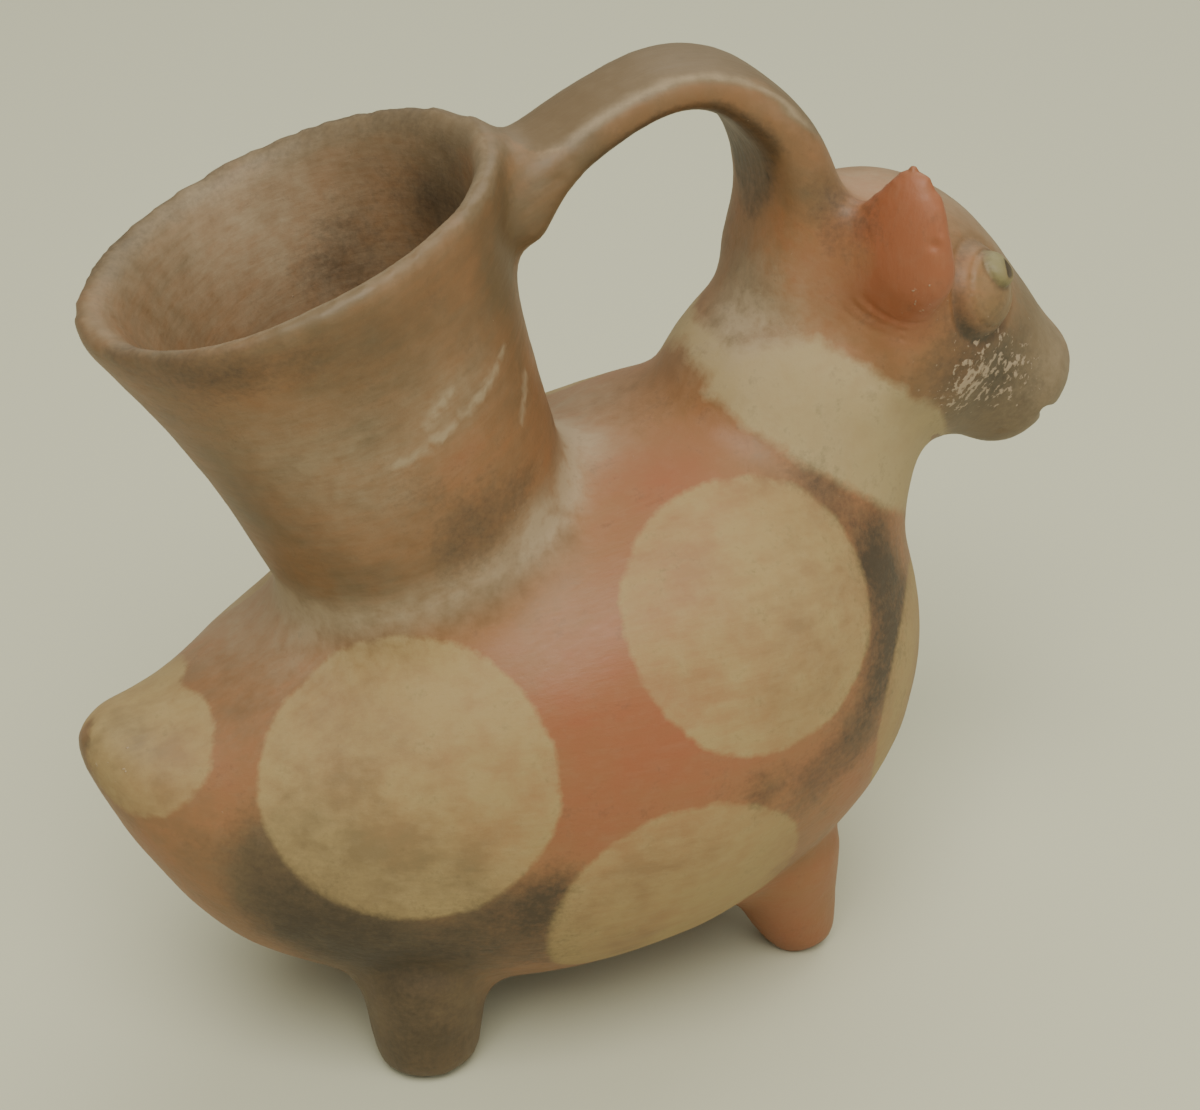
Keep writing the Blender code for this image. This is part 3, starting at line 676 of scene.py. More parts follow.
def cores(form):
    """The middle line and radius of each form, by which a point of the skin is told to belong to one."""
    at = np.linspace(0.05, 0.8, 40)
    heights = form.body_height / 2 * smooth_through(BODY_KNOTS, BODY_HEIGHTS, at)
    middles = form.belly_clearance + form.body_height * smooth_through(BODY_KNOTS, BODY_MIDDLES, at)
    lines = {"body": (in_side_view(form.body_length * at - form.tail_reach, middles), heights)}
    foot, up = spout_axis(form)
    distance = np.linspace(0.1, 1, 30) * form.spout_length
    lines["spout"] = (foot + np.outer(distance, up), spout_radius(form, distance))
    at = np.linspace(0.1, 0.85, 20)
    lines["head"] = (head_line(form, at), head_halves(form, at)[1])
    base = body_point(form, 0.76, 0.5)
    top = head_line(form, np.array([NECK_TOP]))[0]
    at = np.linspace(0.15, 0.75, 20)
    lines["neck"] = (base + np.outer(at, top - base), np.linspace(0.026, 0.022, 20))
    at = np.linspace(0.1, 0.93, 60)
    lines["handle"] = (handle_line(form, at), np.full(60, 0.35 * form.handle_width))
    at = np.linspace(0.15, 0.95, 12)
    for side, name in ((-1, "right ear"), (1, "left ear")):
        lines[name] = (ear_line(form, side, at), np.full(12, 0.45 * form.ear_width))
    for side in (-1, 1):
        for place, spread, *rest in pairs_of_legs(form):
            z = np.linspace(0, 0.6 * form.leg_height, 8)
            lines[f"leg {place} {side}"] = leg_line(form, place, side * spread, *rest, z)
    return lines


def nearest_core(points, lines):
    """Tells each point of the skin to the form whose middle line is nearest, in shares of its radius.

    Returns how far the point is from each form, the nearest point of its own form's line, and the way along it.
    """
    far = []
    core = np.zeros((len(points), 3))
    way = np.zeros(len(points))
    for path, radius in lines.values():
        away = np.sqrt(
            np.maximum((points**2).sum(1)[:, None] - 2 * points @ path.T + (path**2).sum(1), 0)
        ) / np.asarray(radius)
        nearest = away.argmin(axis=1)
        far.append(away.min(axis=1))
        closer = far[-1] <= np.min(far, axis=0)
        core[closer] = path[nearest[closer]]
        steps = np.append(0, np.cumsum(np.linalg.norm(np.diff(path, axis=0), axis=1)))
        way[closer] = steps[nearest[closer]]
    return np.array(far), core, way


def refine(mesh, wanted):
    """Quarters the faces that are wanted."""
    made = bmesh.new()
    made.from_mesh(mesh)
    made.faces.ensure_lookup_table()
    edges = {edge for i in np.flatnonzero(wanted) for edge in made.faces[i].edges}
    bmesh.ops.subdivide_edges(made, edges=list(edges), cuts=1, use_grid_fill=True)
    made.to_mesh(mesh)
    made.free()


def thin_out_inside(form, target, kept):
    """Leaves few faces on the walls of the hollow, which are seen only through the mouth."""
    mesh = target.data
    points, normals = read(mesh.vertices, "co"), read(mesh.vertex_normals, "vector")
    lines = cores(form)
    far, core, _ = nearest_core(points, lines)
    owner = far.argmin(axis=0)
    hollow_forms = [list(lines).index(name) for name in ("body", "spout", "neck", "head")]
    foot, up = spout_axis(form)
    deep = (points - foot) @ up < 0.55 * form.spout_length
    inside = np.isin(owner, hollow_forms) & (((points - core) * normals).sum(axis=1) < 0) & deep
    group = target.vertex_groups.new(name="inside")
    group.add(np.flatnonzero(inside).tolist(), 1.0, "REPLACE")
    fewer = target.modifiers.new("fewer faces", "DECIMATE")
    fewer.ratio = 1 - (1 - kept) * inside.mean()
    fewer.vertex_group = "inside"
    apply_modifiers(target)
    target.vertex_groups.clear()


# Small relief, pushed in or out of the fused skin


# The pellet's middle and the pupil's, forward and upward of the eye's middle, in shares of the eye's radius, and
# the pupil's half length and half height in shares of its radius
PELLET = (-0.16, 0.47)
PUPIL = (-0.1, 0.45)
PUPIL_STRETCH = (0.75, 1.2)


def eye_plane(form, points, side):
    """How far each point is from the middles of the eye, the pellet and the pupil, and out of their plane."""
    here, outward, forward, upward = on_head(form, form.eye_place, side, form.eye_turn)
    away = points - here
    a, b = away @ forward, away @ upward
    pellet = np.hypot(a - PELLET[0] * form.eye_radius, b - PELLET[1] * form.eye_radius)
    pupil = np.hypot(
        (a - PUPIL[0] * form.eye_radius) / PUPIL_STRETCH[0], (b - PUPIL[1] * form.eye_radius) / PUPIL_STRETCH[1]
    )
    return np.hypot(a / 0.95, b), pellet, pupil, away @ outward, outward


def eye_height(form, points, side):
    """The eye's relief: a bulging ball, a ring of lid round it, and a pierced pellet at its upper front."""
    radius, off, pupil, depth, outward = eye_plane(form, points, side)
    ball = 1.2 * form.eye_bulge * np.sqrt(np.clip(1 - (radius / form.eye_radius) ** 2, 0, 1))
    lid = form.eyelid_thickness * np.exp(-(((radius - 1.05 * form.eye_radius) / form.eyelid_thickness) ** 2))
    crease = -0.6 * MM * np.exp(-(((radius - 1.38 * form.eye_radius) / (0.9 * MM)) ** 2))
    dome = 2.0 * MM * np.sqrt(np.clip(1 - (off / (1.15 * form.iris_radius)) ** 2, 0, 1))
    hole = -0.7 * MM * ramp(form.pupil_radius + 0.3 * MM, form.pupil_radius - 0.6 * MM, pupil)
    return (ball + lid + crease + dome + hole) * ramp(8 * MM, 4 * MM, np.abs(depth)), outward


def mouth_shift(form, points):
    """The slit between the lips, sunk across the snout, with the lower lip set back."""
    _, forward, upward = head_axes(form)
    snout = head_line(form, np.array([1.0]))[0] + upward * 0.03 * form.head_height
    away = points - snout
    back, height = -away @ forward, away @ upward
    front = ramp(form.mouth_depth, 0.55 * form.mouth_depth, back)
    slit = np.exp(-((height / (0.62 * form.mouth_gape)) ** 2)) * front
    lower = ramp(0.0, -1.2 * MM, height) * ramp(-11 * MM, -5 * MM, height)
    lower = lower * ramp(form.mouth_depth, 0.2 * form.mouth_depth, back)
    return -np.outer(1.1 * MM * lower, forward), -2.2 * MM * slit


# Chips and pits: place in millimetres, radius, depth
CHIPS = (
    ((-26.0, 27.0, 161.0), 2.4, 0.9), ((49.8, -29.0, 144.5), 1.7, 0.9),
    ((49.0, -29.5, 140.0), 1.3, 0.6), ((-9.0, -13.0, 160.0), 1.2, 0.5),
    ((-6.5, -12.6, 163.0), 0.9, 0.5), ((36.6, -9.8, 154.6), 1.4, 0.5),
    ((34.0, -10.6, 158.0), 0.8, 0.4), ((40.0, -12.0, 139.5), 1.5, 0.4),
    ((-92.0, -2.0, 70.0), 1.6, 0.4), ((-87.7, -9.5, 67.4), 1.2, 0.3),
    ((-60.0, -33.5, 149.0), 1.1, 0.3), ((6.6, -7.7, 108.1), 1.2, 0.3),
    ((75.0, -12.4, 97.4), 1.5, 0.3),
)


# Grooves of a finger or brush that wound about the ear's root: arcs about a middle, and the radii of the arcs
EAR_SWIRL = ((50.0, -25.0, 136.0), (8.4, 10.4, 12.2))


def swirl_depth(points):
    """Sunk arcs below and behind the ear's root: bells of 0.45 mm about each radius from the swirl's middle."""
    middle, radii = EAR_SWIRL
    x, y, z = (points / MM).T
    away = np.hypot(x - middle[0], 1.15 * (z - middle[2]))
    turn = np.arctan2(z - middle[2], x - middle[0])
    beside = ramp(-2.95, -2.5, turn) * ramp(-0.9, -1.5, turn) * ramp(-14, -18, y)
    sunk = sum(np.exp(-(((away - radius) / 0.45) ** 2)) for radius in radii)
    return 0.28 * MM * sunk * beside


def chip_depth(points):
    """How far each point is sunk: a bowl of the fourth power in each chip."""
    sunk = np.zeros(len(points))
    for place, radius, depth in CHIPS:
        away = np.linalg.norm(points / MM - place, axis=1) / radius
        ragged = away + 0.25 * lumps(points, 0.9 * MM, 5)
        sunk += depth * MM * np.clip(1 - ragged**2, 0, 1) ** 2
    return sunk


# Hand-built unevenness: depth and size in millimetres, and a seed
UNEVEN = ((0.45, 26, 1), (0.16, 9, 2), (0.05, 3.2, 3))


def model_relief(form, mesh):
    """Everything that is pushed in or out: unevenness, chips, grooves, eyes and mouth. The feet stay flat."""
    points, normals = read(mesh.vertices, "co"), read(mesh.vertex_normals, "vector")
    steady = ramp(0.5 * MM, 4 * MM, points[:, 2])
    uneven = sum(depth * MM * lumps(points, size * MM, seed) for depth, size, seed in UNEVEN)
    moved = points + normals * (uneven * steady - chip_depth(points) - swirl_depth(points))[:, None]
    for side in (-1, 1):
        height, outward = eye_height(form, points, side)
        height *= ramp(0.0, 0.3, normals @ outward)
        moved += np.outer(height, outward)
    shift, slit = mouth_shift(form, points)
    moved += shift + normals * slit[:, None]
    moved[:, 2] = np.maximum(moved[:, 2], 0)
    write_points(mesh, moved)


# Where the slips, stains, wear and painted shade lie: each spot's place and radius in millimetres and its amount. Most
# lie on the side that shows.

# Discs of cream slip, on both sides
CREAM_DISCS = (
    ((-46.5, -34.0, 68.2), 25.0), ((14.5, -37.5, 88.0), 23.6), ((-2.0, -44.0, 36.5), 24.3),
    ((54.5, -24.0, 57.5), 22.0), ((-81.5, -6.5, 68.0), 11.6),
)
# Slip that fired bright, and slip that fired dull; the dull spots low on the rump and on the rear leg are painted shade
BRIGHT = (
    ((-12, -42, 80), 17, 0.8), ((2, -46, 68), 13, 0.4), ((8, -22, 104), 12, 0.5),
    ((47, -25, 146), 12, 1.5), ((46, -24, 133), 9, 1.0), ((32, -28, 8), 14, 0.5),
    ((-72, -20, 62), 10, 0.2), ((15, -10, 168), 12, 0.3), ((-18, -45, 62), 10, 0.6),
    ((60, -22, 116), 6, 0.4), ((-31, -28, 122), 9, 0.5), ((-46, -30, 108), 7, 0.4),
)
DULL_AND_SHADE = (
    ((-45, -38, 38), 22, 0.7), ((-46, -28, 8), 18, 1.1), ((12, 0, 175), 16, 0.6),
    ((-8, 0, 170), 12, 0.5), ((78, -12, 105), 18, 0.9), ((66, -20, 114), 12, 0.5),
    ((-19, 8, 158), 10, 0.6), ((-20, -17, 152), 9, 0.6), ((60, -5, 143), 12, 0.3),
    ((72, 0, 128), 14, 0.5), ((43, -19, 140), 5, 0.8), ((38, -12, 150), 6, 0.9),
    ((-80, 0, 80), 14, 0.3), ((38, -30, 12), 8, 0.4), ((-66, -28, 52), 12, 1.3),
    ((-58, -32, 40), 10, 0.6), ((22, -6, 128), 10, 1.1), ((-88, -4, 72), 8, 0.5),
)
# Soot beside the chest, low on the spout, on its lip and inside it, and on the face; soot and painted shade under the
# belly, low on the rump and on a leg
SOOT_AND_SHADE = (
    ((33, -25, 101), 5, 0.8), ((40.8, -28.1, 91.1), 7, 1.0), ((40, -32, 84), 6, 0.8),
    ((45.2, -29.9, 80.9), 7.5, 1.0), ((41.7, -35.2, 74.5), 7, 0.9), ((38.3, -38.4, 69.1), 6.5, 0.9),
    ((32.5, -41.8, 61.5), 7, 0.85), ((22.0, -45.6, 56.0), 6, 0.75), ((11, -47.8, 59.5), 4.5, 0.6),
    ((-65, -28, 44), 10, 0.85), ((-70, -25, 55), 8, 0.4), ((62, -22, 120), 7, 0.3),
    ((72, -18, 114), 7, 0.25), ((26, -10, 113), 5, 0.3), ((32, -20, 105), 5, 0.4),
    ((-57, -31, 37), 11, 0.9), ((-49, -32, 29), 11, 0.9), ((-37, -38, 36), 9, 0.8),
    ((-30, -42, 44), 7, 0.8), ((-25, -44, 47), 6, 0.8), ((-22, -42, 32), 8, 0.7),
    ((-37, -28, 118), 6, 0.3), ((-27, -26, 111), 6, 0.45), ((-33, -27, 106), 5, 0.35),
    ((-20, -23, 113), 4, 0.35), ((-80, -14, 145), 5, 0.6), ((-75, -25, 145), 6, 0.7),
    ((-67, -31, 146), 5, 0.6), ((-57, -35, 148), 4, 0.4), ((-70, -8, 138), 9, 0.5),
    ((-45, -31, 10), 10, 0.75), ((-48, -20, 3), 8, 0.5), ((60, -24, 121), 8, 0.45),
    ((70, -18, 111), 9, 0.55), ((78, -15, 103), 7, 0.4), ((39.5, -16, 147), 6, 0.6),
    ((-22, 6, 151), 9, 0.5), ((-33, 22, 139), 7, 0.45), ((-38, 23, 133), 7, 0.4),
    ((-24, 12, 148), 6, 0.5), ((-28, -5, 140), 12, 0.4), ((36, 24, 92), 10, 0.7),
    ((-40, 38, 40), 16, 0.6),
)
# Pale wear on the back, the tail's root, the crown, the snout, the neck's root and inside and outside the spout
HAZE = (
    ((3, 15, 105.5), 9, 0.6), ((-2, -2, 107), 7, 0.8), ((-58.8, 5.9, 82.6), 12, 0.6),
    ((-56, -9, 85), 8, 0.5), ((-64, 18, 75), 12, 0.4), ((30, -8, 128), 10, 0.6),
    ((80, -13, 106), 11, 0.45), ((84, -4, 108), 8, 0.4), ((62, -4, 142), 9, 0.25),
    ((72, -3, 132), 9, 0.5), ((50, 0, 146), 9, 0.4), ((-41, 26, 140), 15, 0.45),
    ((-55, 24, 146), 12, 0.4), ((-48, -28, 122), 12, 0.4), ((-57, -22, 132), 12, 0.45),
    ((-33, -31, 135), 9, 0.4), ((-18, -22, 105), 5, 0.5), ((-9, -15, 107.5), 4, 0.6),
    ((22, -6, 128), 9, 0.6),
)
# Flecks of crust on the cheek, by the ear, on the tail's tip and on the back
CRUST = (
    ((60, -22, 117), 9, 0.85), ((69, -19.5, 115), 9, 0.8), ((76, -16, 112), 8, 0.7),
    ((62, -21, 110), 6, 0.7), ((74, -15, 106), 6, 0.6), ((49, -27, 134), 4, 0.9),
    ((54, -25, 130), 3.5, 0.7), ((-88, -1, 72), 4, 0.7), ((-88, -9, 67), 4, 0.6),
    ((-92, -3, 66), 4, 0.5), ((6.6, -7.7, 108.1), 3, 0.5), ((32, -9, 126), 5, 0.4),
)
# Where the cream slip is thin
THIN = (
    ((3, -33, 98), 6, 0.7), ((-1, -36, 90), 5, 0.5), ((12, -38, 84), 4, 0.4),
    ((-34, -41, 60), 6, 0.6), ((-50, -36, 59), 6, 0.45), ((-29, -40, 70), 4, 0.4),
    ((-42, -35, 74), 4, 0.3), ((-5, -46, 32), 7, 0.5), ((-80, -8, 68), 6, 0.5),
    ((55, -24, 60), 7, 0.3),
)
# Pale scratches on the spout's right side: each one's two ends and the width of its soft edge, in millimetres
SCRATCHES = (
    ((-42.7, -28.9, 125.0), (-36.0, -29.2, 128.4), 0.4),
    ((-36.0, -29.2, 128.4), (-28.3, -27.0, 132.9), 0.3),
    ((-28.3, -27.0, 132.9), (-22.1, -22.2, 138.0), 0.4),
    ((-37.7, -29.8, 131.6), (-34.0, -29.4, 136.2), 0.6),
    ((-19.8, -20.8, 123.9), (-17.1, -17.4, 130.3), 0.4),
)


def laid(points, spots):
    """The sum of round soft spots: each amount times e to minus the squared distance over the squared radius."""
    amount = np.zeros(len(points))
    for place, radius, strength in spots:
        away = ((points / MM - place) ** 2).sum(axis=1)
        amount += strength * np.exp(-away / radius**2)
    return amount


def scratched(points):
    """1 within 0.4 mm of the line between a scratch's ends, fading out over its soft edge as a bell."""
    amount = np.zeros(len(points))
    for start, end, soft in SCRATCHES:
        start, end = np.array(start), np.array(end)
        way = np.clip((points / MM - start) @ (end - start) / ((end - start) @ (end - start)), 0, 1)
        away = np.linalg.norm(points / MM - start - np.outer(way, end - start), axis=1)
        amount += np.exp(-((np.maximum(away - 0.4, 0) / soft) ** 2))
    return amount


def into_discs(points):
    """Millimetres into the nearest cream disc, less than 0 outside. Both sides of the bottle have the discs."""
    mirrored = points / MM
    mirrored[:, 1] = -np.abs(mirrored[:, 1])
    return np.max([radius - np.linalg.norm(mirrored - place, axis=1) for place, radius in CREAM_DISCS], axis=0)


# Heights of the collar's two edges along its slanting axis, and the place of its rear end, in millimetres
COLLAR_LOW = 102.2
COLLAR_HIGH = 122.5
COLLAR_BACK = 18


def into_collar(points):
    """Millimetres into the pale collar, which lies between two slanting planes round the neck.

    Its upper edge comes down by 10 mm behind the neck and by 4 mm under the throat.
    """
    x, _, z = (points / MM).T
    height = 0.6 * x + 0.8 * z
    top = COLLAR_HIGH - 10 * np.clip((36 - x) / 14, 0, 1) - 4 * np.clip((x - 57) / 7, 0, 1)
    return np.minimum(np.minimum(height - COLLAR_LOW, top - height), x - COLLAR_BACK)


def store(mesh, name, values, kind="FLOAT"):
    attribute = mesh.attributes.new(name, kind, "POINT")
    attribute.data.foreach_set("value" if kind == "FLOAT" else "vector", values.astype(np.float32).ravel())


def brushed_ways(form, points, of, away, way):
    """Each point's place, squeezed along the way it was brushed, so that a pattern is drawn out into strokes.

    Strokes run along the body, round the spout, along the strap and the head, and up the ears and legs.
    """
    _, up = spout_axis(form)
    _, forward, _ = head_axes(form)
    brushed = points * np.array([0.14, 1.0, 1.0])
    on_axis = np.outer(points @ up, up)
    brushed = np.where(of["spout"][:, None], (points - on_axis) * 0.2 + on_axis, brushed)
    along_strap = np.stack([way * 0.12, points[:, 1], np.linalg.norm(away, axis=1)], axis=1)
    brushed = np.where(of["handle"][:, None], along_strap, brushed)
    along_head = points - 0.7 * np.outer(points @ forward, forward)
    brushed = np.where((of["head"] | of["neck"])[:, None], along_head, brushed)
    for name, mine in of.items():
        if "ear" in name or "leg" in name:
            brushed = np.where(mine[:, None], points * np.array([1.0, 1.0, 0.2]), brushed)
    return brushed


def eye_marks(form, points, outside):
    """How pale each point is as the slip on the eyes, and how dark with painted shade in the pupil's hole and the
    creases round the pellet and lid.
    """
    eyes, line = np.zeros(len(points)), np.zeros(len(points))
    for side in (-1, 1):
        radius, off, pupil, depth, _ = eye_plane(form, points, side)
        close = ramp(6 * MM, 4 * MM, np.abs(depth)) * outside
        eyes += close * ramp(1.3 * form.iris_radius, 1.05 * form.iris_radius, off)
        eyes += 0.25 * close * ramp(1.1 * form.eye_radius, 0.9 * form.eye_radius, radius)
        # Painted shade: dark in the pupil's hole and in the creases round the pellet and the lid
        line += close * ramp(form.pupil_radius + 0.5 * MM, form.pupil_radius - 0.3 * MM, pupil)
        line += 0.35 * close * np.exp(-(((off - 1.25 * form.iris_radius) / (0.5 * MM)) ** 2))
        line += 0.35 * close * np.exp(-(((radius - 1.3 * form.eye_radius) / (0.9 * MM)) ** 2))
    return eyes, line


# The middle of the strap's arch, in metres
UNDER_STRAP = (0.010, 0.0, 0.135)


def mark_slips(form, mesh):
    """Stores on the skin how far inside each slip it is, how strong each stain and each painted shade is, and how it
    was brushed.
    """
    points, normals = read(mesh.vertices, "co"), read(mesh.vertex_normals, "vector")
    lines = cores(form)
    far, core, way = nearest_core(points, lines)
    order = np.sort(far, axis=0)
    of = {name: far.argmin(axis=0) == k for k, name in enumerate(lines)}
    partly = {
        name: ramp(-0.2, 0.2, np.where(of[name], order[1], order[0]) - far[k]) for k, name in enumerate(lines)
    }
    away = points - core
    hollow_forms = of["body"] | of["spout"] | of["neck"] | of["head"]
    inside = hollow_forms & ((away * normals).sum(axis=1) < 0)
    foot, up = spout_axis(form)
    above = points @ up - foot @ up
    beside = np.linalg.norm(points - foot - np.outer(above, up), axis=1)

    # The strap: dull on top, worn along its edges, and darkened underneath as painted shade
    arch = unit((core - UNDER_STRAP) * np.array([1.0, 0.0, 1.0]))
    facing = (normals * arch).sum(axis=1)
    edges = np.exp(-(((np.abs(normals[:, 1]) - 0.62) / 0.16) ** 2)) * ramp(0.2, 0.5, facing)
    strap = partly["handle"]

    # The dull spots also lay painted shade low on the rump and on the rear leg
    tone = laid(points, BRIGHT) - laid(points, DULL_AND_SHADE) - 0.35 * partly["spout"]
    tone -= strap * (0.1 + 0.5 * ramp(0.4, 0.8, facing))
    # Painted shade: the soot colour laid on the strap's underside, the faces turned towards the arch's middle
    soot = laid(points, SOOT_AND_SHADE) + 0.75 * strap * ramp(0.0, -0.7, facing)
    at_lip = ramp(form.spout_length - 5 * MM, form.spout_length - 1 * MM, above + points[:, 1] * form.mouth_roll)
    at_lip *= partly["spout"]
    soot += 0.35 * at_lip * ramp(5 * MM, 20 * MM, points[:, 1])
    soot = 1.25 * np.tanh(0.9 * soot)
    ring = np.hypot(above - 7.5 * MM, beside - 1.02 * form.spout_waist_radius)
    haze = laid(points, HAZE) + 0.6 * strap * edges + 0.1 * at_lip * ramp(5 * MM, -10 * MM, points[:, 1])
    tone -= 0.3 * at_lip
    haze += 0.75 * np.exp(-((ring / (4 * MM)) ** 2)) * ~inside + 0.75 * scratched(points) * ~inside
    haze += 0.2 * (inside & of["spout"])
    eyes, line = eye_marks(form, points, ~inside)
    # Painted shade in the mouth's slit: darker where the slit is sunk deeper
    line += 0.8 * ramp(0.3 * MM, 1.6 * MM, -mouth_shift(form, points)[1]) * ~inside
    cream = np.where(inside, -20, into_discs(points))
    collar = np.where(inside | of["handle"], -20, into_collar(points))
    soot *= 1 - 0.7 * ramp(-0.5, 1.5, cream) - 0.7 * ramp(-0.5, 2.0, collar)
    marks = {
        "cream": cream,
        "collar": collar,
        "thin": laid(points, THIN),
        "tone": tone,
        "soot": soot,
        "haze": haze,
        "crust": laid(points, CRUST),
        "eyes": eyes,
        # line: painted shade in the mouth's slit, the pupils and the creases round the eyes
        "line": line,
        "border": ramp(0.3, 0.0, order[1] - order[0]),
    }
    for name, values in marks.items():
        store(mesh, name, values)

    store(mesh, "brushed", brushed_ways(form, points, of, away, way), "FLOAT_VECTOR")


# The finish


def node(tree, kind, links=None, **settings):
    """Adds a node: settings are its own options, and links give its inputs a socket or a value."""
    made = tree.nodes.new(kind)
    for name, value in settings.items():
        setattr(made, name, value)
    for name, value in (links or {}).items():
        if isinstance(value, bpy.types.NodeSocket):
            tree.links.new(value, made.inputs[name])
        else:
            made.inputs[name].default_value = value
    return made


# What mark_slips stores for the finish, beside the brushed ways
MARKS = ("cream", "collar", "thin", "tone", "soot", "haze", "crust", "eyes", "line", "border")


def burnished_slip(colours):
    """Slip-painted earthenware, brushed, burnished and low-fired.

    Red clay slip rubbed with a pebble: a soft broken sheen, fine streaks along the strokes, matt cream slip with
    the red grinning through its strokes, sooty specks that cling, painted shade in the same black-brown, and pale
    worn haze and crust.
    """
    made = bpy.data.materials.new("burnished slip earthenware")
    made.use_nodes = True
    tree = made.node_tree
    shader = tree.nodes["Principled BSDF"]
    place = node(tree, "ShaderNodeTexCoord").outputs["Object"]
    brushed = node(tree, "ShaderNodeAttribute", attribute_name="brushed").outputs["Vector"]
    marks = {name: node(tree, "ShaderNodeAttribute", attribute_name=name).outputs["Fac"] for name in MARKS}

    # Patterns: the place they follow, their real size in millimetres, their detail and their roughness. Hairs of
    # the brush and specks of grit are finer than 0.9 mm, and are drawn as coarse as they need to be to show.
    cloud, blotch, dab, stroke, hair, speck, fleck = (
        node(
            tree,
            "ShaderNodeTexNoise",
            {"Vector": where, "Scale": 1 / (size * MM), "Detail": detail, "Roughness": roughness},
        ).outputs["Fac"]
        for where, size, detail, roughness in (
            (place, 22, 4.0, 0.6),
            (place, 6, 5.0, 0.65),
            (place, 3, 4.0, 0.6),
            (brushed, 2.2, 4.0, 0.6),
            (brushed, 0.9, 3.0, 0.6),
            (place, 1.1, 3.0, 0.7),
            (place, 1.4, 2.0, 0.6),
        )
    )
    # Where two forms meet, the strokes of both give way to dabs
    stroke, hair = (
        node(tree, "ShaderNodeMix", {0: marks["border"], 2: streak, 3: dab}).outputs[0] for streak in (stroke, hair)
    )

    # What each finish goes by: a first part, and others that are added, each times its share. The tone is the red
    # slip's firing, with painted shade low on the rump and the rear leg, the disc is cream slip and the cover its
    # thickness, and the band is the pale collar. Soot is a brown veil that breaks up into black specks, which also
    # lays painted shade under the strap, the belly and the rump and in the mouth's slit, the pupils and the creases
    # round the eyes, and crust is flecks.
    sums = {}
    for name, total, *others in (
        ("tone", marks["tone"], (cloud, 1.6), (stroke, 0.7)),
        ("disc", marks["cream"], (blotch, 3.0), (stroke, 0.8)),
        ("cover", stroke, (blotch, 1.6), (cloud, 2.4), (marks["thin"], -1.0)),
        ("band", marks["collar"], (blotch, 5.0)),
        # The soot's sum also takes the painted shade lines of the mouth's slit, the pupils and the creases round the
        # eyes
        ("soot", blotch, (speck, 0.9), (stroke, 0.5), (marks["soot"], 1.0), (marks["line"], 1.3)),
        ("crust", fleck, (marks["crust"], 0.2)),
    ):
        for part, times in others:
            total = node(tree, "ShaderNodeMath", {0: part, 1: times, 2: total}, operation="MULTIPLY_ADD").outputs[0]
        sums[name] = total
    # Haze is worn in patches of hairs and dabs
    patch = node(tree, "ShaderNodeMix", {0: 0.65, 2: hair, 3: dab}).outputs[0]
    haze = node(tree, "ShaderNodeMath", {0: marks["haze"], 1: 0.25}, operation="ADD").outputs[0]
    haze = node(tree, "ShaderNodeMath", {0: haze, 1: patch}, operation="MULTIPLY").outputs[0]

    # From where each begins to show to where it shows in full, and how much of it there is at the two
    dull, bright, disc, cover, band, worn, soot_and_shade_veil, flecks = (
        node(
            tree,
            "ShaderNodeMapRange",
            {"Value": value, "From Min": low, "From Max": high, "To Min": least, "To Max": most},
        ).outputs["Result"]
        for value, low, high, least, most in (
            (sums["tone"], 0.45, 1.2, 0.0, 1.0),
            (sums["tone"], 1.1, 2.1, 0.0, 1.0),
            (sums["disc"], 1.4, 2.4, 0.0, 1.0),
            (sums["cover"], 1.95, 2.75, 0.35, 0.92),
            (sums["band"], 2.2, 4.2, 0.0, 1.0),
            (haze, 0.12, 0.65, 0.0, 0.85),
            (sums["soot"], 1.33, 2.3, 0.0, 0.95),
            (sums["crust"], 0.78, 0.86, 0.0, 0.85),
        )
    )
    # Both painted slips thin out in places and let the red through, the collar less than the discs
    thick = node(
        tree, "ShaderNodeMapRange", {"Value": cover, "From Min": 0.3, "From Max": 0.9, "To Min": 0.72, "To Max": 0.98}
    ).outputs["Result"]
    disc = node(tree, "ShaderNodeMath", {0: disc, 1: cover}, operation="MULTIPLY").outputs[0]
    band = node(tree, "ShaderNodeMath", {0: band, 1: thick}, operation="MULTIPLY").outputs[0]
    pale = node(
        tree,
        "ShaderNodeMix",
        {0: cloud, 6: tuple(colours.pale_slip), 7: tuple(colours.cream_slip)},
        data_type="RGBA",
    ).outputs[2]
    pale_eye = node(tree, "ShaderNodeMath", {0: marks["eyes"], 1: 0.8}, operation="MULTIPLY").outputs[0]

    # One over the other, from the dull red slip up to the crust
    painted = tuple(colours.brown_slip)
    for covered, over in (
        (dull, tuple(colours.red_slip)),
        (bright, tuple(colours.orange_slip)),
        (disc, tuple(colours.cream_slip)),
        (band, pale),
        (worn, tuple(colours.haze)),
        (pale_eye, tuple(colours.eye)),
        (soot_and_shade_veil, tuple(colours.soot)),
        (flecks, tuple(colours.crust)),
    ):
        painted = node(tree, "ShaderNodeMix", {0: covered, 6: painted, 7: over}, data_type="RGBA").outputs[2]
    tree.links.new(painted, shader.inputs["Base Color"])

    # Burnish: streaky sheen on the red, matt on the cream, the collar and the haze
    matt = node(tree, "ShaderNodeMath", {0: disc, 1: band}, operation="MAXIMUM").outputs[0]
    matt = node(tree, "ShaderNodeMath", {0: matt, 1: worn}, operation="MAXIMUM").outputs[0]
    rough = node(tree, "ShaderNodeMapRange", {"Value": matt, "To Min": 0.4, "To Max": 0.6}).outputs["Result"]
    rough = node(tree, "ShaderNodeMath", {0: hair, 1: 0.22, 2: rough}, operation="MULTIPLY_ADD").outputs[0]
    tree.links.new(rough, shader.inputs["Roughness"])
    shader.inputs["IOR"].default_value = 1.5

